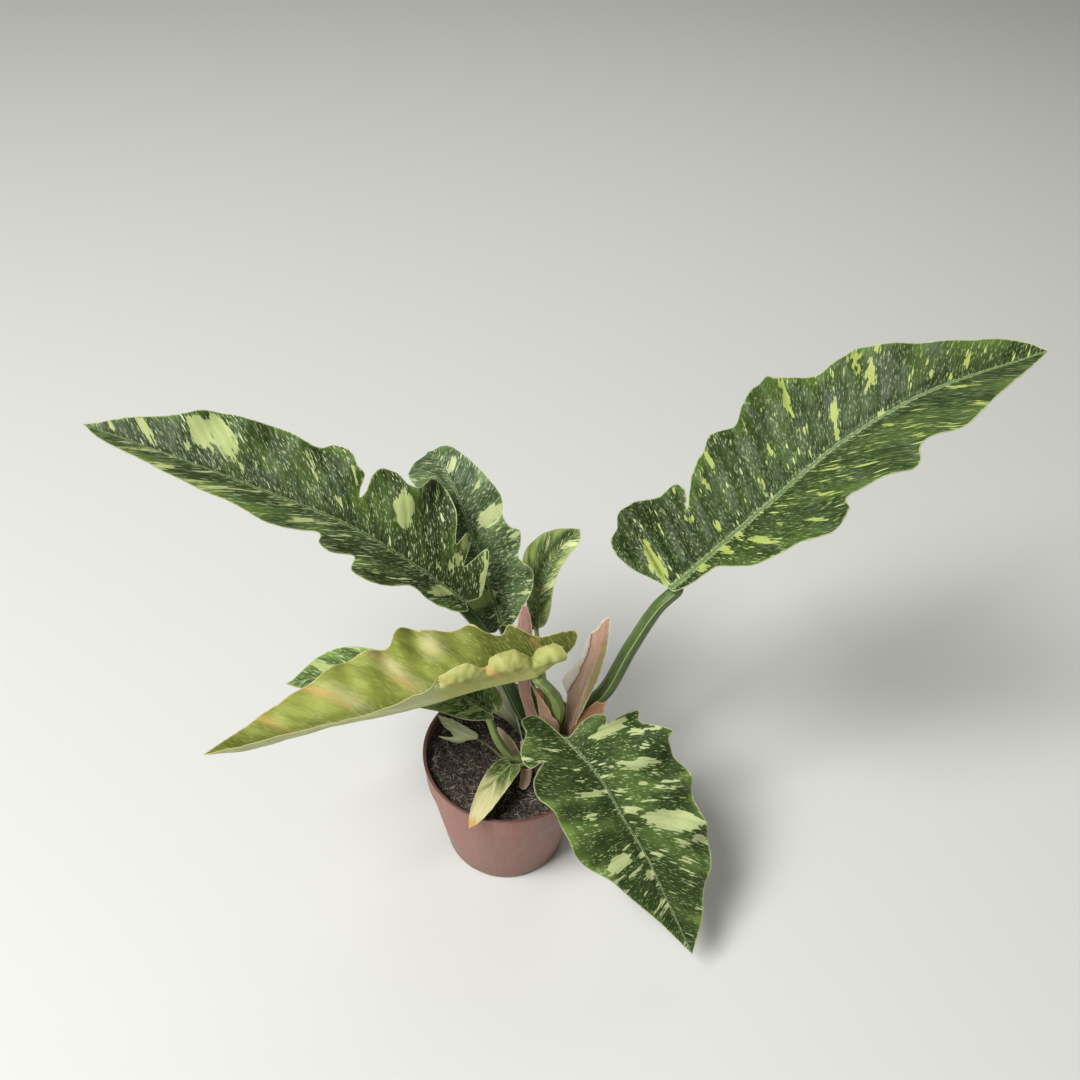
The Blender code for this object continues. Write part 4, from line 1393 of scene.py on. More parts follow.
@dataclass(frozen=True)
class Scatter:
    """Bits strewn over a surface by Geometry Nodes."""

    name: str
    density: float  # bits in a square millimetre
    size: Pair  # length or width, in millimetres
    girth: float  # of a fibre, in millimetres; 0 makes crumbs
    tilt: float  # most radians that a bit stands up
    seed: int

    LUMPS = 900.0  # scale of the noise that makes crumbs uneven, in lumps to the metre

    def fibre(self, tree: Tree, girth: Socket) -> Socket:
        """A bent fibre of length 1.

        Args:
            tree: The tree that gets its nodes.
            girth: Its radius, as a share of its length.

        Returns:
            Its geometry.
        """
        bow = {"Resolution": 4, "Start": (-0.5, 0, 0), "Middle": (0, 0.25, 0.2), "End": (0.5, 0, 0)}
        line = add_node(tree, "GeometryNodeCurveQuadraticBezier", bow)
        ring = {"Resolution": 3, "Radius": girth}
        ring = add_node(tree, "GeometryNodeCurvePrimitiveCircle", ring).outputs["Curve"]
        tube = {0: line, 1: ring, "Fill Caps": True}
        return add_node(tree, "GeometryNodeCurveToMesh", tube).outputs[0]

    def crumbled(self, tree: Tree, bits: Node) -> Node:
        """Shifts the points of the bits unevenly.

        Args:
            tree: The tree that gets the nodes.
            bits: The node that gives the bits.

        Returns:
            The node that gives them uneven.
        """
        place = add_node(tree, "GeometryNodeInputPosition")
        cloud = add_node(tree, "ShaderNodeTexNoise", {"Vector": place, "Scale": self.LUMPS})
        centre = (cloud.outputs["Color"], (0.5, 0.5, 0.5))
        centred = add_node(tree, VECTOR_MATH, centre, operation="SUBTRACT")
        reach = {0: centred, "Scale": self.size[1] * MM}
        shift = add_node(tree, VECTOR_MATH, reach, operation="SCALE")
        return add_node(tree, "GeometryNodeSetPosition", {0: bits, "Offset": shift})

    def tree(self, material: Material) -> Tree:
        """The node tree, with Density, Smallest, Largest, Girth, Tilt and Seed as inputs.

        Args:
            material: The bits' finish.

        Returns:
            The tree.
        """
        tree = bpy.data.node_groups.new(self.name, "GeometryNodeTree")
        add, socket = partial(add_node, tree), tree.interface.new_socket
        socket("Geometry", in_out="INPUT", socket_type="NodeSocketGeometry")
        for name in ("Density", "Smallest", "Largest", "Girth", "Tilt"):
            socket(name, in_out="INPUT", socket_type="NodeSocketFloat")
        socket("Seed", in_out="INPUT", socket_type="NodeSocketInt")
        socket("Geometry", in_out="OUTPUT", socket_type="NodeSocketGeometry")
        given = add("NodeGroupInput").outputs
        seed, tilt = {"Seed": given["Seed"]}, given["Tilt"]
        spread = {"Mesh": given["Geometry"], "Density": given["Density"], **seed}
        spots = add("GeometryNodeDistributePointsOnFaces", spread).outputs["Points"]
        if self.girth:
            bit = self.fibre(tree, given["Girth"])
        else:
            ball = {"Radius": 0.5, "Subdivisions": 1}
            bit = add("GeometryNodeMeshIcoSphere", ball).outputs["Mesh"]
        back = add(MATH, (tilt, -1.0), operation="MULTIPLY")
        turns = {
            0: add("ShaderNodeCombineXYZ", {0: back, 2: 0.0}),
            1: add("ShaderNodeCombineXYZ", {0: tilt, 1: tilt, 2: math.tau}),
        }
        turn = add("FunctionNodeRandomValue", {**turns, **seed}, data_type="FLOAT_VECTOR")
        sizes = {2: given["Smallest"], 3: given["Largest"]}
        size = add("FunctionNodeRandomValue", {**sizes, **seed}, data_type="FLOAT").outputs[1]
        placing = {"Points": spots, "Instance": bit, "Rotation": turn, "Scale": size}
        bits = add("GeometryNodeRealizeInstances", (add("GeometryNodeInstanceOnPoints", placing),))
        if not self.girth:
            bits = self.crumbled(tree, bits)
        dressed = add("GeometryNodeSetMaterial", {0: bits, "Material": material})
        add("NodeGroupOutput", (dressed,))
        return tree

    def build(self, ground: Mesh, material: Material) -> Object:
        """Strews the bits.

        Args:
            ground: The surface that they lie on.
            material: Their finish.

        Returns:
            The bits as one piece.
        """
        host = new_object(self.name, ground)
        tree = self.tree(material)
        nodes = host.modifiers.new("bits", "NODES")
        nodes.node_group = tree
        mean = (self.size[0] + self.size[1]) / 2
        values = {
            "Density": self.density / MM**2,
            "Smallest": self.size[0] * MM,
            "Largest": self.size[1] * MM,
            "Girth": self.girth / 2 / mean,
            "Tilt": self.tilt,
            "Seed": self.seed,
        }
        for item in tree.interface.items_tree:
            if item.in_out == "INPUT" and item.name in values:
                nodes[item.identifier] = values[item.name]
        mesh = evaluated_mesh(host)
        bpy.data.objects.remove(host, do_unlink=True)
        mesh.materials.clear()
        mesh.materials.append(material)
        return add_piece(self.name, mesh, [], "soil")


@dataclass(frozen=True)
class PottingMix:
    """Peat mix that fills the pot, crumbly on top, with fibres and crumbs strewn over it."""

    top: float = 91.0
    bump: Triple = (1.3, 9.0, 3.0)  # height, size and seed
    crumb: Triple = (0.9, 2.2, 8.0)
    slope: Pair = (49.0, 0.05)  # the radius from which it falls, and how steeply
    gap: float = 0.3
    sides: int = 240
    ring_step: float = 1.4
    lift: float = 0.25  # how high over the soil the bits lie
    bits: tuple[tuple[Scatter, EarthFinish], ...] = (
        (Scatter("soil_fibres", 0.17, (1.8, 7.0), 0.19, 0.5, 11),
         EarthFinish("peat_fibre_straw", "#81766a", "#dccfbb", 6.0, 0.7)),
        (Scatter("soil_dark_fibres", 0.34, (1.5, 4.5), 0.22, 0.6, 5),
         EarthFinish("peat_fibre_dark", "#2f2521", "#7a6a5e", 6.0, 0.8)),
        (Scatter("soil_crumbs", 0.16, (0.7, 2.2), 0.0, 3.0, 23),
         EarthFinish("peat_crumb", "#1d1917", "#5a5047")),
    )

    ROUGHNESS, FINER, OCTAVES = 0.9, 2.1, 4  # of the crumbs' noise
    SMOOTH = 180.0  # degrees; no edge stays sharp

    def height(self, x: float, y: float) -> float:
        """Height of the soil's top.

        Args:
            x: The place to the right of the pot's axis.
            y: The place behind it.

        Returns:
            The height there.
        """
        (bump, wide, first), (crumb, fine, second) = self.bump, self.crumb
        start, fall = self.slope
        big = noise.noise(Vector((x / wide, y / wide, first)))
        small = Vector((x / fine, y / fine, second))
        small = noise.fractal(small, self.ROUGHNESS, self.FINER, self.OCTAVES)
        edge = max(0.0, math.hypot(x, y) - start)
        return self.top + bump * big + crumb * small - fall * edge

    def build(self) -> None:
        """The soil's body and what lies on it."""
        gap, inside = self.gap, POT.inner_radius
        rim, floor = inside(self.top) - gap, POT.floor + gap
        finish = EarthFinish("peat_mix", "#1c1614", "#53463e").build()
        side = [
            (rim, self.top - 1.5),
            (inside(POT.collar_bottom) - gap, POT.collar_bottom + 1),
            (inside(POT.step_top) - gap, POT.step_top + 1),
            (inside(floor + 3) - 2 * gap, floor + 3),
            (inside(floor) - 5, floor),
            (0.0, floor),
        ]
        radii = np.arange(self.ring_step, rim - 0.5, self.ring_step)
        face = [(0.0, self.top), *((float(r), self.top) for r in radii)]
        profile = [*face, (rim, self.top - 0.5), *side]
        mesh = lathe("soil_body", profile, self.sides, finish, self.SMOOTH)
        for corner in mesh.vertices:
            x, y, z = corner.co / MM
            if z > self.top - 1:
                corner.co.z = self.height(x, y) * MM
        add_piece("soil_fine", mesh, ["soil"], "soil")
        ground = lathe("ground", face[:-1], self.sides // 2, finish, self.SMOOTH)
        for corner in ground.vertices:
            x, y, _ = corner.co / MM
            corner.co.z = (self.height(x, y) + self.lift) * MM
        for scatter, grains in self.bits:
            scatter.build(ground.copy(), grains.build())


@dataclass(frozen=True)
class Stem:
    """A short ringed stem."""

    node: str
    place: Pair
    radius: float
    root: float
    top: float
    rings: int = 3

    ROUNDED = (0.7, 0.3)  # the root's face and the height of its bevel, in shares of the radius
    STEP = 0.7
    SCAR = (0.5, 6)  # depth of a leaf scar, and how sharp it is
    BEVEL = (0.9, 0.8)  # of the top, across and down
    SIDES, SHARP = 64, 60

    def build(self, material: Material) -> Object:
        """The stem with its leaf scars.

        Args:
            material: The stem's finish.

        Returns:
            The piece.
        """
        (face, rise), (depth, power), (across, down) = self.ROUNDED, self.SCAR, self.BEVEL
        profile: list[Pair] = [(0.0, self.root), (face * self.radius, self.root)]
        for height in np.arange(self.root + rise * self.radius, self.top - down, self.STEP):
            turn = (self.top - height) * self.rings / (self.top - PottingMix.top)
            scar = depth * abs(math.cos(math.pi * turn)) ** power
            profile.append((self.radius - scar, float(height)))
        profile += [(self.radius - across, self.top), (0.0, self.top)]
        mesh = lathe(f"{self.node}_fine", profile, self.SIDES, material, self.SHARP)
        for corner in mesh.vertices:
            corner.co.x += self.place[0] * MM
            corner.co.y += self.place[1] * MM
        return add_piece(f"{self.node}_fine", mesh, [self.node], "stem")


@dataclass(frozen=True)
class Studio:
    """Camera at the photograph's viewpoint, a plain pale floor and soft light."""

    eye: Triple = (15.0, -458.0, 730.0)
    pitch: float = 43.0  # degrees below the horizon
    roll: float = 3.0
    lens: float = 36.0
    sensor: float = 36.0
    floor_half: float = 6000.0
    floor_colour: str = "#d2d2ce"
    floor_roughness: float = 0.6
    floor_drop: float = 1.0  # how far it lies under the pot
    lights: tuple[tuple[str, Triple, float, float], ...] = (  # place, size and watts
        ("key", (-1500.0, -1100.0, 2800.0), 1300.0, 132.0),
        ("window", (-1500.0, -1500.0, 900.0), 1000.0, 12.0),
        ("back", (500.0, 1500.0, 1700.0), 900.0, 5.0),
    )
    aim: Triple = (0.0, 0.0, 200.0)
    sky: str = "#f0eee6"
    sky_strength: float = 0.2

    def camera(self) -> None:
        """Places the camera."""
        down, turn = math.radians(self.pitch), math.radians(self.roll)
        forward = Vector((0.0, math.cos(down), -math.sin(down)))
        level = Vector((1.0, 0.0, 0.0))
        up = level.cross(forward)
        right = math.cos(turn) * level + math.sin(turn) * up
        top = math.cos(turn) * up - math.sin(turn) * level
        data = bpy.data.cameras.new("camera")
        data.lens, data.sensor_width = self.lens, self.sensor
        camera = new_object("camera", data)
        camera.matrix_world = Matrix((right, top, -forward)).transposed().to_4x4()
        camera.location = Vector(self.eye) * MM
        bpy.context.scene.camera = camera

    def light(self) -> None:
        """Adds the soft lights and the sky."""
        aim = Vector(self.aim) * MM
        for name, place, size, power in self.lights:
            data = bpy.data.lights.new(name, "AREA")
            data.size, data.energy = size * MM, power
            lamp = new_object(name, data)
            lamp.location = Vector(place) * MM
            lamp.rotation_euler = (aim - lamp.location).to_track_quat("-Z", "Y").to_euler()
        world = bpy.data.worlds.new("studio")
        world.use_nodes = True
        feed(world.node_tree.nodes["Background"], (linear(self.sky), self.sky_strength))
        bpy.context.scene.world = world

    def floor(self) -> None:
        """Lays the floor."""
        sides = ((-1, -1), (1, -1), (1, 1), (-1, 1))
        half, low = self.floor_half, -self.floor_drop
        corners = np.array([(half * x, half * y, low) for x, y in sides])
        finish = bpy.data.materials.new("pale_floor")
        finish.use_nodes = True
        plain = {"Base Color": linear(self.floor_colour), "Roughness": self.floor_roughness}
        feed(finish.node_tree.nodes["Principled BSDF"], plain)
        floor = new_object("floor", mesh_from("floor", corners, [(0, 1, 2, 3)], {}, finish))

    def build(self) -> None:
        """Sets up the whole studio."""
        bpy.context.scene.view_settings.view_transform = "Standard"
        self.camera()
        self.light()
        self.floor()


@dataclass(frozen=True)
class Sheath:
    """A papery sheath: a narrow blade that wraps round its face side."""

    name: str
    slot: str
    rib: tuple[Triple, ...]
    faces: tuple[Triple, ...]
    width: float  # of one half at the belly
    wrap: Pair  # degrees in 10 mm
    finish: SheathFinish
    foot: float = 0.8  # shares of the width
    belly: float = 0.35  # share of the length
    tip: float = 0.35
    left: Half | None = None  # halves that take the place of the plain ones
    right: Half | None = None

    NARROWING = 0.92  # share of the length from which it runs to its point

    def blade(self) -> Blade:
        """The sheath as a blade without side veins.

        Returns:
            Its sizes as a blade's.
        """
        length = Rib(self.rib, self.faces).length
        shares = (
            (0.0, self.foot),
            (self.belly, 1.0),
            (0.6 * self.belly + 0.5, 0.5 + 0.6 * self.tip),  # the shoulder over the belly
            (self.NARROWING, self.tip),
        )
        outline = tuple((along * length, out * self.width) for along, out in shares)
        plain = Half(outline, (0.0, 0.0), self.wrap)
        seed = float(sum(map(ord, self.name)) % 37)
        return Blade(
            self.name, self.slot, self.rib, self.faces, self.left or plain, self.right or plain,
            rib_thickness=0.5, seed=seed, growth=Growth.LONG, spacing=0.8, thickness=0.5,
            frayed=0.45,
        )

    def build(self) -> Object:
        """The sheath as a piece in place of its node."""
        mesh = BladeSurface(self.blade()).mesh(self.finish.build())
        return add_piece(f"{self.name}_fine", mesh, [self.name], self.slot)


@dataclass(frozen=True)
class Leaf:
    """A blade on its stalk."""

    blade: Blade
    stalk: Stalk
    finish: LeafFinish
    skin: StalkFinish

    def build(self) -> None:
        """The blade and the stalk as pieces in place of their nodes."""
        mesh = BladeSurface(self.blade).mesh(self.finish.build())
        add_piece(f"{self.blade.name}_fine", mesh, [self.blade.name], self.blade.slot)
        self.stalk.build(self.blade, self.skin.build())


LEFT_BLADE = Blade(
    name="leaf_left", slot="blade", seed=3,
    rib=((-29, 8, 239), (-62, 13, 265), (-104, 20, 290), (-155, 28, 307), (-206, 36, 322),
         (-258, 45, 335)),
    faces=((0.30, -0.38, 0.87), (0.32, -0.42, 0.85)),
    left=Half(
        outline=((-3, 5), (4, 12), (14, 16), (26, 18), (38, 17), (50, 25), (65, 32), (75, 30),
                 (77, 20), (92, 26), (99, 23), (101, 16), (127, 23), (147, 19), (186, 15),
                 (210, 11), (240, 6)),
        fold=(26, 16), curl=(-2, -2), ruffle=2.5, phase=0.5,
        lean=(1, 3), pleat=(0.6, 0.1), vein_gap=7.5,
        patches=((220, 4, 7.6, 0.8), (202, 10, 8.3, 2.2), (182, 13, 8.3, 1), (169, 12, 10.2, 1.2),
                 (154, 6, 7.8, 0.8), (114, 11, 6.4, 2), (100, 6, 4.7, 1.4), (126, 4, 3.4, 0.8),
                 (19, 5, 11.7, 3.5), (61, 22, 2.2, 1)),
    ),
    right=Half(
        outline=((-6, 8), (-2, 20), (7, 36), (11, 25), (14, 18), (19, 36), (24, 36), (26, 26),
                 (38, 44), (49, 55), (59, 52), (63, 42), (69, 40), (78, 45), (86, 43), (89, 34),
                 (88, 24), (89.5, 19), (91.5, 24), (93, 33), (98, 35), (105, 42), (115, 44),
                 (122, 38), (131, 37), (149, 41), (166, 37), (182, 37), (192, 34), (204, 26),
                 (228, 15)),
        fold=(14, 12), curl=(-1, -1), ruffle=2.5, wave=34, phase=2.0,
        lean=(0.5, 1.3), pleat=(0.7, 0.1), vein_gap=7.5,
        patches=((190, 20, 10.7, 6.1), (178, 23, 16, 6), (64, 26, 10.6, 5.6), (221, 11, 10, 2.5),
                 (240, 6, 4.5, 0.8), (21, 12, 3.4, 1.8), (28, 8, 2.2, 1), (52, 50, 3.8, 1),
                 (126, 30, 2.1, 1.2), (98, 10, 2.7, 1.2), (95, 26, 7.1, 0.8), (193, 8, 2.7, 1),
                 (182, 14, 3.4, 1.2), (159, 8, 2.7, 0.9), (20, 20, 4.7, 2.5), (0, 21, 15, 2),
                 (118, 21, 2.7, 0.7)),
        blushes=((22, 30, 8, 4.5),),
    ),
)
RIGHT_BLADE = Blade(
    name="leaf_right", slot="blade", seed=11,
    rib=((98, 22, 246), (110, 26, 258), (149, 36, 306), (187, 46, 350), (229, 56, 380),
         (296, 70, 404)),
    faces=((-0.50, -0.42, 0.76), (-0.38, -0.50, 0.78)),
    left=Half(
        outline=((-2, 5), (-6, 13), (-12, 25), (-15, 39), (-12, 50), (-2, 57), (10, 58),
                 (17, 60), (33, 48), (44, 51), (47, 44), (41, 32), (48, 39), (60, 45), (71, 54),
                 (84, 54), (97, 52), (111, 54), (120, 61), (128, 61), (133, 53), (145, 44),
                 (165, 41), (174, 43), (184, 37), (211, 25), (242, 15), (254, 9)),
        fold=(14, 12), ruffle=2.0, wave=26,
        lean=(0.1, 0.8), pleat=(3, -0.8), vein_gap=11.0,
        patches=((145, 16, 11.5, 2.4), (173, 25, 9.1, 2.4), (130, 41, 9.8, 2.2), (170, 38, 5, 2.2),
                 (169, 32, 4.4, 1.1), (183, 37, 3.8, 1.5), (105, 23, 4, 1.5), (128, 20, 2.4, 1),
                 (122, 8, 2.4, 0.9), (166, 1, 3.8, 2), (72, 48, 8.5, 2), (62, 37, 6.5, 1.1),
                 (3, 19, 16, 4.2), (50, 10, 3.8, 2.2), (40, 25, 2.2, 2), (220, 9, 3.8, 1.5),
                 (208, 4, 1.5, 1.1), (200, 16, 1.5, 1), (200, 9, 1.5, 0.9), (102, 39, 3.4, 0.9),
                 (88, 12, 4.6, 0.9)),
    ),
    right=Half(
        outline=((2, 4), (13, 8), (35, 12), (45, 20), (61, 32), (82, 36), (99, 44), (114, 45),
                 (123, 43), (124, 36), (143, 36), (159, 42), (169, 40), (175, 31), (203, 31),
                 (226, 19), (245, 10)),
        fold=(22, 16), curl=(-2, -1), ruffle=2.5, phase=1.0,
        lean=(0.3, 2.5), pleat=(0.5, 0.1), vein_gap=8.0,
        patches=((26, 3, 6, 2.7), (44, 3, 7.5, 2.7), (69, 19, 14, 1.8), (58, 2, 3.4, 1.5),
                 (116, 24, 5.4, 1.3), (126, 11, 6.7, 1.3), (132, 25, 1.7, 0.9),
                 (143, 23, 6.9, 0.8), (104, 34, 6.5, 1), (190, 26, 7, 1), (176, 25, 3.8, 0.8),
                 (214, 21, 4.7, 1.3), (212, 5, 5.4, 1), (220, 5, 2.4, 0.9), (166, 8, 2.7, 0.8)),
    ),
)
FRONT_BLADE = Blade(
    name="leaf_front", slot="blade", seed=19,
    rib=((38, -18, 140), (60, -34, 126), (80, -54, 104), (98, -71, 83), (116, -91, 55),
         (133, -110, 29)),
    faces=((0.20, -0.45, 0.80), (0.25, -0.55, 0.75)),
    left=Half(
        outline=((2, 3), (1, 15), (4, 26), (10, 30), (14, 27), (16, 36), (22, 51), (26, 46),
                 (30, 50), (38, 58), (40, 53), (59, 54), (80, 52), (92, 47), (104, 46),
                 (116, 43), (135, 29), (156, 16)),
        fold=(16, 8), curl=(-3, -2), ruffle=2.5,
        lean=(0.2, 1.3), pleat=(0.9, 0.5), vein_gap=8.0,
        patches=((17, 26, 13.8, 4), (30, 43, 10.2, 1.3), (42, 27, 14.2, 2.7), (87, 28, 19.8, 6.7),
                 (108, 40, 7.1, 3.1), (66, 8, 6.4, 2.7), (36, 1, 7.5, 1.1), (50, 7, 4, 1.3),
                 (66, 36, 7.7, 1), (62, 38, 6.4, 0.7), (54, 23, 3.4, 0.7), (66, 20, 3.8, 0.6),
                 (80, 42, 4.2, 0.5), (100, 7, 4.4, 1.8), (115, 25, 5.3, 1.1), (122, 22, 5.4, 1.1),
                 (102, 26, 5.4, 2.1), (149, 19, 7.1, 1.2)),
    ),
    right=Half(
        outline=((-12, 1), (-24, 4), (-28, 14), (-20, 18), (-15, 28), (-9, 33), (-2, 33),
                 (1, 23), (3, 32), (7, 39), (15, 42), (27, 41), (55, 41), (66, 43), (79, 39),
                 (95, 31), (114, 24), (141, 12)),
        fold=(14, 8), curl=(-3, -2), ruffle=2.0, wave=32, phase=1.5,
        lean=(-1, 0.8), pleat=(0.8, 0.4), vein_gap=8.0,
        patches=((42, 9, 12.2, 2.1), (52, 20, 3.8, 0.7), (55, 20, 3.1, 0.9), (62, 24, 3.8, 0.7),
                 (89, 20, 9.4, 5.5), (95, 2, 3, 1.5), (109, 2, 5.7, 2.7), (84, 8, 2.7, 0.9),
                 (102, 12, 5.2, 1.8), (135, 0, 8.3, 1.5), (132, 7, 4.5, 1.2), (0, 13, 4.7, 0.7),
                 (22, 9, 3.2, 0.5), (0, 24, 3.2, 0.6), (-8, 30, 3.8, 1.1), (98, 29, 4.6, 1.2)),
    ),
)
BACK_BLADE = Blade(
    name="leaf_back", slot="blade", seed=27,
    rib=((-7, 22, 204), (-17, 36, 228), (-29, 52, 256), (-42, 70, 281), (-53, 86, 289),
         (-62, 100, 284)),
    faces=((0.10, -0.78, 0.62), (0.05, -0.55, 0.83)),
    left=Half(
        outline=((-3, 6), (4, 16), (20, 24), (40, 22), (62, 21), (86, 18), (105, 22), (116, 23),
                 (129, 18)),
        fold=(10, 8), curl=(-2, -2), lean=(-0.3, 1), pleat=(0.5, 0.3),
        patches=((112, 20, 3.1, 1),),
        blushes=((20, 7, 15, 6),),
    ),
    right=Half(
        outline=((-2, 5), (9, 18), (19, 27), (30, 30), (41, 24), (48, 28), (57, 30), (61, 25),
                 (68, 23), (81, 26), (94, 22), (110, 16), (128, 8)),
        fold=(12, 8), curl=(-2, -2), ruffle=2.0, wave=28,
        lean=(-0.3, 1), pleat=(0.6, 0.3),
        patches=((110, 5, 5.5, 3), (72, 15, 9.5, 5.1), (55, 26, 3.8, 2.5), (92, 13, 2.7, 1.4),
                 (17, 20, 5.3, 1.5), (22, 1, 1.7, 1.5), (36, 2, 1.7, 2), (43, 19, 3.8, 1)),
    ),
)
NARROW_HALF = Half((), (28, 20), lean=(1.5, 1.5), pleat=(0.3, 0.3), vein_gap=6.0)
NARROW_BLADE = Blade(
    name="leaf_narrow", slot="pale_blade", seed=33,
    rib=((16, 40, 182), (17, 47, 214), (26, 57, 239), (41, 66, 253)),
    faces=((0.2, -0.75, 0.6),),
    left=replace(
        NARROW_HALF,
        outline=((2, 5), (18, 9), (34, 11), (47, 19), (56, 22), (64, 19), (72, 13), (80, 5)),
        patches=((64, 10, 4, 1.3),), blushes=((56, 16, 5.4, 2.7),),
    ),
    right=replace(
        NARROW_HALF,
        outline=((4, 5), (20, 9), (44, 8), (63, 8), (78, 6)),
        patches=((71, 2, 11.6, 2), (38, 5, 15, 2)),
    ),
    rib_thickness=1.8, spacing=0.9,
)
YOUNG_BLADE = Blade(
    name="leaf_young", slot="young_blade", seed=41,
    rib=((19, -24, 211), (-15, -32, 206), (-61, -43, 194), (-108, -54, 187), (-158, -65, 174),
         (-184, -72, 176)),
    faces=((0, -0.35, 0.93), (0, -0.45, 0.90)),
    left=Half(
        outline=((-10, 8), (-18, 14), (-13, 24), (-3, 25), (3, 19), (14, 27), (26, 26), (31, 19),
                 (42, 27), (54, 25), (64, 20), (78, 17), (90, 12), (109, 6), (130, 5), (150, 7),
                 (168, 10), (188, 9), (202, 6)),
        fold=(100, 96), roll_from=(10, 30), roll=(110, 0), puff=6.0,
        lean=(0.4, 2), pleat=(0.9, 0.2),
        blushes=((27, 12, 8, 3), (52, 18, 5, 2)),
    ),
    right=Half(
        outline=((-14, 6), (-26, 14), (-28, 22), (-14, 23), (-3, 24), (5, 29), (13, 35),
                 (18, 30), (27, 33), (34, 40), (46, 40), (54, 42), (71, 51), (79, 47), (86, 42),
                 (108, 40), (125, 35), (142, 28), (169, 20), (193, 11)),
        fold=(24, 16), curl=(4, 4), ruffle=2.5, wave=24,
        lean=(0.4, 1.6), pleat=(1.9, -0.6), vein_gap=14.0,
        patches=((86, 26, 17, 4), (58, 34, 9, 6), (120, 16, 12, 4)),
        blushes=((134, 22, 9, 3), (97, 40, 7, 2.4), (-3, 19, 5.7, 1.6), (124, 13, 7, 2.5),
                 (83, 18, 5, 2), (170, 14, 12, 2)),
    ),
    rib_thickness=2.2,
)
LOW_BLADE = Blade(
    name="leaf_low", slot="blade", seed=49,
    rib=((-11, -13, 156), (-44, -5, 171), (-94, 4, 173), (-153, 8, 149)),
    faces=((0.05, -0.25, 0.97),),
    left=Half(
        outline=((-3, 3), (2, 7), (12, 13), (33, 18), (65, 21), (107, 18), (135, 8)),
        fold=(8, 8), curl=(-4, -4), lean=(1, 2), pleat=(0.4, 0.2), vein_gap=7.0,
        patches=((11, 4, 9.3, 1.8), (37, 14, 9.8, 0.9)),
    ),
    right=Half(
        outline=((-4, 4), (-2, 12), (13, 19), (36, 17), (58, 14), (87, 15), (107, 18), (125, 15),
                 (142, 6)),
        fold=(10, 8), curl=(-2, -2), lean=(1, 2), pleat=(0.4, 0.2), vein_gap=7.0,
        patches=((123, 7, 13, 2.7), (130, 11, 3.8, 1.8), (97, 15, 5.2, 0.9)),
    ),
    rib_thickness=1.8,
)
JUVENILE_HALF = Half((), (20, 20), lean=(2, 2.5), pleat=(0.15, 0.1), vein_gap=5.0,
                     blushes=((56, 1, 7, 5),))
JUVENILE_BLADE = Blade(
    name="leaf_juvenile", slot="pale_blade", seed=57,
    rib=((3, -17, 105), (-5, -31, 109), (-13, -47, 108.5), (-22, -67, 101)),
    faces=((-0.1, -0.1, 1),),
    left=replace(JUVENILE_HALF, outline=((-2, 5), (4, 10), (20, 12.5), (38, 11), (50, 6))),
    right=replace(JUVENILE_HALF, outline=((-2, 5), (4, 8), (18, 8.5), (38, 6), (52, 3))),
    rib_thickness=1.4, spacing=0.8,
)
TORN_HALF = Half((), (5, 5), lean=(2, 2), pleat=(0.1, 0.1), vein_gap=4.0)
TORN_BLADE = Blade(
    name="leaf_torn", slot="pale_blade", seed=65,
    rib=((-22, 12, 95), (-36, 16, 97.5), (-52, 23, 104)),
    faces=((0.1, -0.3, 0.95),),
    left=replace(
        TORN_HALF, outline=((1, 2), (6, 5), (10, 9), (24, 13), (16, 7), (19, 5), (26, 4))
    ),
    right=replace(TORN_HALF, outline=((1, 2), (10, 4), (21, 4))),
    rib_thickness=1.2, spacing=0.6,
    frayed=0.4,
)

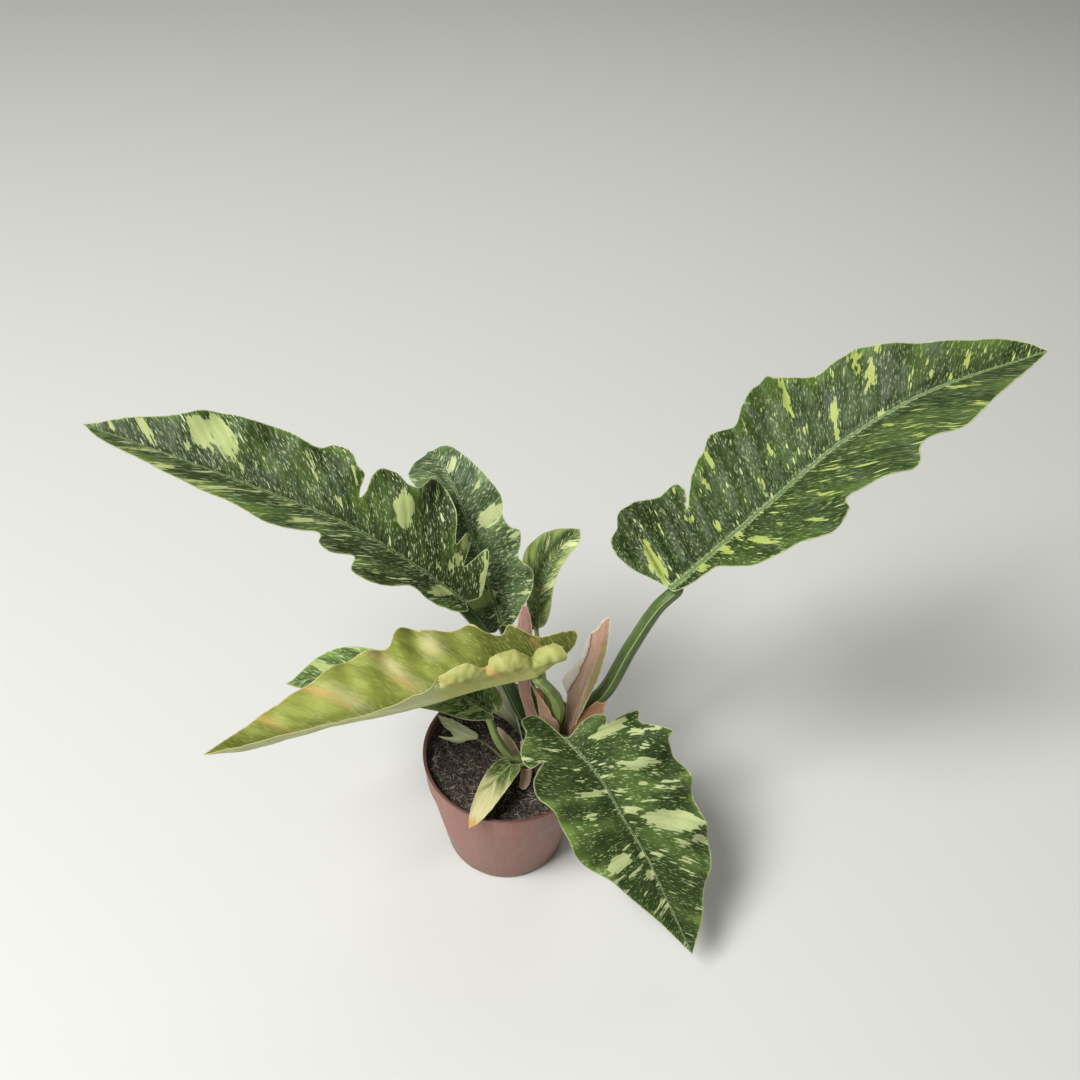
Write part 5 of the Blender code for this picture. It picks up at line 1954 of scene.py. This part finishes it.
CROWN_TOP = 104.3
SHOOT_TOP = 97.3
DARK_SKIN = StalkFinish("petiole_dark", "#2c3f1c", "#42582a", "#8b9c66", "#4c5e30")
GREEN_SKIN = StalkFinish("petiole_green", "#3b4d24", "#5d7239", "#a9b784", "#31421d")
LIME_SKIN = StalkFinish("petiole_lime", "#8b9a4a", "#aab763", "#c9cf8e", "#8c7a4a")
WITHERED_SKIN = StalkFinish("petiole_withered", "#55552f", "#6d6a40", "#8a865a", "#4c4630")
SOFT_SKIN = StalkFinish("petiole_light_green", "#6b8046", "#8b9d5e", "#bcc690", "#6d7c42")
NEW_SKIN = StalkFinish("petiole_new", "#68813f", "#8da05c", "#bfc98e", "#5d7238")
LEAVES = (
    Leaf(
        LEFT_BLADE,
        Stalk("stalk_left", "stalk",
              ((18.1, 6.5, CROWN_TOP), (18.1, 6.5, 110), (10, 8.8, 128), (-3, 9, 165),
               (-21, 9, 216)), (4.2, 5, 3.6), (0.5, -0.8, 0)),
        LeafFinish(
            "philodendron_leaf_long", cream="#a4af70", fresh="#40541f", fleck="#a3b283",
            flecks=0.55, dash="#bcc796", dashes=0.36, hazing=0.2, rib="#40532a",
            rib_width=(1, 0.35)
        ),
        DARK_SKIN,
    ),
    Leaf(
        RIGHT_BLADE,
        Stalk("stalk_right", "stalk",
              ((34.5, 12.5, CROWN_TOP), (34.5, 12.5, 108), (46, 17, 122), (64, 17, 146),
               (79, 19, 193), (93, 21.5, 230)), (4.2, 5.7, 4.2), (-0.9, -0.5, 0.3)),
        LeafFinish(
            "philodendron_leaf_broad", rib="#61774a", bead="#93a56c", rib_width=(1.8, 0.45),
            dash="#adba72", cream="#9fac5a", fleck="#80905f", flecks=0.7, deep="#263615",
            fresh="#394d1e", foot_shading=0.7, hazing=0.3, glowing=0.3
        ),
        GREEN_SKIN,
    ),
    Leaf(
        FRONT_BLADE,
        Stalk("stalk_front", "stalk",
              ((34, -0.5, CROWN_TOP), (34, -0.5, 109), (34.8, -4, 118), (36.5, -10, 127)),
              (3.6, 3.6, 2.8), (0.9, 0.3, 0)),
        LeafFinish(
            "philodendron_leaf_fresh", deep="#2d3d19", fresh="#50662f", foot="#253314",
            glow="#7d963f", glowing=0.5, fleck="#8ea26a", flecks=0.6, dashes=0.25, rib="#4b6034",
            rib_width=(0.8, 0.35), bead="#b9c49c"
        ),
        GREEN_SKIN,
    ),
    Leaf(
        BACK_BLADE,
        Stalk("stalk_back", "stalk",
              ((21.3, 15.2, CROWN_TOP), (21.3, 15.2, 112), (12, 19, 150), (0, 21, 182)),
              (3.9, 4.3, 3), (0.5, -0.8, 0)),
        LeafFinish(
            "philodendron_leaf_shaded", deep="#3a4c28", fresh="#586d40", glow="#7b9554",
            fleck="#a3b28c", flecks=0.6, hazing=0.36
        ),
        GREEN_SKIN,
    ),
    Leaf(
        NARROW_BLADE,
        Stalk("stalk_narrow", "young_stalk",
              ((28.6, 18.2, CROWN_TOP), (28.6, 18.2, 112), (22, 29, 148), (17.5, 37.6, 170)),
              (2.7, 2.3, 1.4), (0.5, -0.8, 0)),
        LeafFinish(
            "philodendron_leaf_bordered", deep="#4b6230", fresh="#7b9854", glow="#b4c572",
            glowing=0.9, fleck="#b4bf86", dash="#bfca80", cream="#c3cd8e", flecks=1.0, dashes=0.5,
            blush="#a3b35c"
        ),
        LIME_SKIN,
    ),
    Leaf(
        YOUNG_BLADE,
        Stalk("stalk_young", "young_stalk",
              ((29, 6, CROWN_TOP), (29, 6, 110), (33.5, -2, 146), (31, -12, 173),
               (25, -20, 193)), (3.8, 4.5, 3.5), (-0.5, -0.8, 0)),
        LeafFinish(
            "philodendron_leaf_new", deep="#767e34", fresh="#969f4b", glow="#868440",
            foot="#424a1c", foot_shading=0.85, hazing=0.32, fleck="#b9c070", bump=0.34, dash="#b9bf78",
            cream="#cbc491", cream_shade="#b9b57a", rib="#9aa158", bead="#b5b878",
            margin="#b7b273", under="#9ca25a", under_far="#b4b886", blush="#c8945c",
            roughness=(0.3, 0.42), flecks=0.02, dashes=0.01, streaks=(0.92, 0.97),
            patch_edge=(-5, 6), blush_edge=(-2, 5.5), cream_cover=0.65, crease_shading=0.25
        ),
        NEW_SKIN,
    ),
    Leaf(
        LOW_BLADE,
        Stalk("stalk_low", "young_stalk",
              ((8.5, -9, SHOOT_TOP), (8.5, -9, 99.5), (3, -10, 104), (-6, -11, 122),
               (-11.5, -12.5, 144)), (2.6, 3.1, 2.3), (-0.3, -0.9, 0.2)),
        LeafFinish(
            "philodendron_leaf_small", deep="#34491d", fresh="#577532", glow="#8fa857",
            foot_shading=0.1, cream="#97a868", fleck="#adbc7e", flecks=1.0, dashes=0.45
        ),
        SOFT_SKIN,
    ),
    Leaf(
        JUVENILE_BLADE,
        Stalk("stalk_juvenile", "young_stalk",
              ((14, -10.8, SHOOT_TOP), (14, -10.8, 99.5), (10, -15.5, 102)), (1.5, 1.5, 1.2),
              (0, 0, 1)),
        LeafFinish(
            "philodendron_leaf_strap", deep="#34491c", fresh="#4f6a2c", foot="#3c5220",
            glow="#7f9448", cream="#bbb587", cream_shade="#aba35c", rib="#98a066",
            patch_edge=(-1.3, 1.3), bead="#b9be84", rib_width=(0.4, 0.2), margin="#bfc088",
            edging=0.15, blush="#b98a4c", blush_edge=(-1, 5), pale_edge=0.4, pale_tip=0.32,
            pale_fade=0.36, fleck="#b9c288", flecks=0.9
        ),
        SOFT_SKIN,
    ),
    Leaf(
        TORN_BLADE,
        Stalk("stalk_torn", "young_stalk",
              ((4.4, -6.5, 94), (-4, -3, 93.6), (-13, 5, 93.6)), (1, 1, 0.8),
              (0, 0, 1)),
        LeafFinish(
            "philodendron_leaf_scrap", edging=0.2, deep="#e6e5c0", fresh="#f6f4d8", glow="#5f7a34",
            glowing=0.75, foot="#a3ae70", foot_shading=0.3, hazing=0.0, fleck="#4d5b30", dash="#5c6a3c",
            flecks=0.12, dashes=0.08, cream="#c9cfae", rib="#a7b088", bead="#c3caa6",
            under="#8f9a70"
        ),
        WITHERED_SKIN,
    ),
)

ROSE_SKIN = SheathFinish(
    "cataphyll_rose", "#9c7a6d", "#ad8678", "#b68a7e", "#8a6256", "#cba894", "#a98478", (0.1, 0.7)
)
OPEN_SKIN = SheathFinish(
    "cataphyll_open", "#c2ad88", "#d2b198", "#c69e88", "#8f6950", "#e6ddd0", "#a8a062",
    (0.15, 0.75)
)
DRY_SKIN = SheathFinish(
    "cataphyll_dried", "#86603f", "#976a44", "#a0714c", "#674529", "#bf9674", "#8c6542",
    (0.2, 0.8), roughness=0.65
)
STRIPED_SKIN = SheathFinish(
    "cataphyll_striped", "#c09a7e", "#b9917c", "#a98a6c", "#7a6a44", "#d0ac8e", "#b08c72",
    (0.3, 0.8)
)
PALE_SKIN = SheathFinish(
    "cataphyll_pale", "#3c4d26", "#a9ab8a", "#ddd9c6", "#8f9472", "#e2dcc6", "#c9c6ac",
    (0.42, 0.6), lining=0.1
)
LOW_SKIN = SheathFinish(
    "cataphyll_cream", "#a5a070", "#d2c3a6", "#dccbb2", "#a99676", "#e6d8c0", "#cdbb9c", (0.2, 0.7)
)
PINK_SKIN = SheathFinish(
    "cataphyll_pink", "#b08672", "#c79c8a", "#d0a896", "#97695a", "#dcbaa4", "#bc9280", (0.2, 0.7)
)
BEIGE_SKIN = SheathFinish(
    "cataphyll_beige", "#b99c84", "#cdb09a", "#d4bba6", "#a08068", "#e0cab4", "#c4a68e", (0.2, 0.7)
)
TALL_HALF = Half(((0, 3), (45, 3.8), (75, 4.6), (100, 5.4), (112, 5.2), (122, 4.2), (129, 2.8),
                  (134, 1.2)),
                 (0, 0), (50, 50))
SHEATHS = (
    Sheath("sheath_tall", "rose_sheath",
           ((20.5, 0.2, 104.6), (17, 1, 130), (10, 2, 163), (8.5, 5, 200), (7.5, 10, 237)),
           ((0.1, 0.95, 0),), 5.5, (50, 50), ROSE_SKIN,
           left=TALL_HALF, right=TALL_HALF),
    Sheath("sheath_open", "rose_sheath",
           ((41.5, 4, 98), (42, 2, 122), (45, 2, 150), (52, 5, 188), (59, 8, 231)),
           ((-0.75, -0.6, 0.1), (-0.25, -0.95, 0.2), (-0.25, -0.95, 0.2)), 10, (30, 45),
           OPEN_SKIN,
           left=Half(
               outline=((0, 3), (30, 4.6), (48, 6.5), (60, 9), (68, 13.5), (72, 13.8), (87, 9.8),
                        (100, 7.4), (112, 6.6), (119, 5.6), (124, 3), (131, 1.6)),
               fold=(0, 0), curl=(-12, 10),
               patches=((67, 12.5, 13, 5), (84, 10, 17, 4.6), (102, 7.8, 18, 3.6)),
           ),
           right=Half(
               outline=((0, 3), (30, 3.4), (45, 5.2), (60, 7), (75, 8.4), (90, 8.6), (104, 8),
                        (117, 6.4), (127, 4.6), (136, 2.4)),
               fold=(-4, -8), curl=(-34, -34),
               blushes=((60, 7.5, 40, 3.4), (95, 7.4, 44, 4)),
           )),
    Sheath("sheath_dried", "dry_sheath",
           ((36, -2.6, 95), (39, -5.6, 107), (42, -5.5, 118), (45, -3.5, 128), (53, 0, 139),
            (66.5, 5, 152)),
           ((-0.6, 0.75, 0.2), (-0.4, -0.6, 0.6)), 4.8, (20, 30), DRY_SKIN, foot=0.5,
           belly=0.7, tip=0.6),
    Sheath("sheath_striped", "rose_sheath",
           ((28, -4.4, 104.6), (25.8, -5, 122), (21, -5, 157), (14, -5, 180)),
           ((0.5, 0.85, 0.1), (0.7, 0.6, 0.3)), 5.5, (60, 60), STRIPED_SKIN,
           left=Half(((0, 7), (12, 8.5), (20, 9.5), (28, 11), (36, 10.5), (44, 7.5), (56, 5.5),
                      (67, 3)), (0, 0), (60, 60))),
    Sheath("sheath_pale", "cream_sheath",
           ((12.6, 8, 98), (4, 8, 114), (-7.5, 9.5, 136), (-14.5, 13, 160), (-18.5, 15, 180)),
           ((0.9, 0, 0.3), (-0.1, 0.95, 0.2), (-0.2, 0.95, 0.1)), 9.5, (22, 30), PALE_SKIN,
           foot=0.4, belly=0.5, tip=0.6,
           right=Half(((0, 3), (22, 7), (42, 12), (60, 12.5), (76, 8)), (0, 0), (12, 16))),
    Sheath("sheath_low", "cream_sheath",
           ((6.2, -3.8, 97.6), (0, -3.4, 113), (-7.5, -3, 128)),
           ((-0.2, -0.9, 0.3), (-0.2, -0.8, 0.5)), 4, (50, 50), LOW_SKIN),
    Sheath("sheath_small", "rose_sheath",
           ((12.8, -4.4, 97.6), (11.6, -4.6, 107), (10.2, -5, 118)),
           ((-0.1, -0.9, 0.2), (-0.1, -0.9, 0.3)), 3, (60, 60), PINK_SKIN),
    Sheath("sheath_stub", "rose_sheath",
           ((14, -14.1, 96.5), (13.8, -21, 97), (11.6, -30, 94.5)),
           ((0, -0.1, 1),), 4.2, (-110, -110), BEIGE_SKIN, tip=0.6),
)
STEMS = (
    Stem("stem_crown", (27, 8), 13.5, 66, 104),
    Stem("stem_shoot", (11, -8), 6, 74, 97),
)


@dataclass(frozen=True)
class Plant:
    """The philodendron: its stems, its leaves and the sheaths round its crown."""

    stems: tuple[Stem, ...] = STEMS
    leaves: tuple[Leaf, ...] = LEAVES
    sheaths: tuple[Sheath, ...] = SHEATHS

    def build(self) -> None:
        """All of its pieces."""
        bark = StalkFinish("stem_skin", "#5f6238", "#7d7a4c", "#96906a", "#6a5438").build()
        for stem in self.stems:
            stem.build(bark)
        for leaf in self.leaves:
            leaf.build()
        for sheath in self.sheaths:
            sheath.build()


def main() -> None:
    """Builds every piece around the frame."""
    logging.basicConfig(level=logging.INFO, format="%(message)s")
    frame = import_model()
    LOG.info("frame: %d nodes", len(frame["nodes"]))
    Studio().build()
    POT.build()
    PottingMix().build()
    Plant().build()


if __name__ == "__main__":
    main()
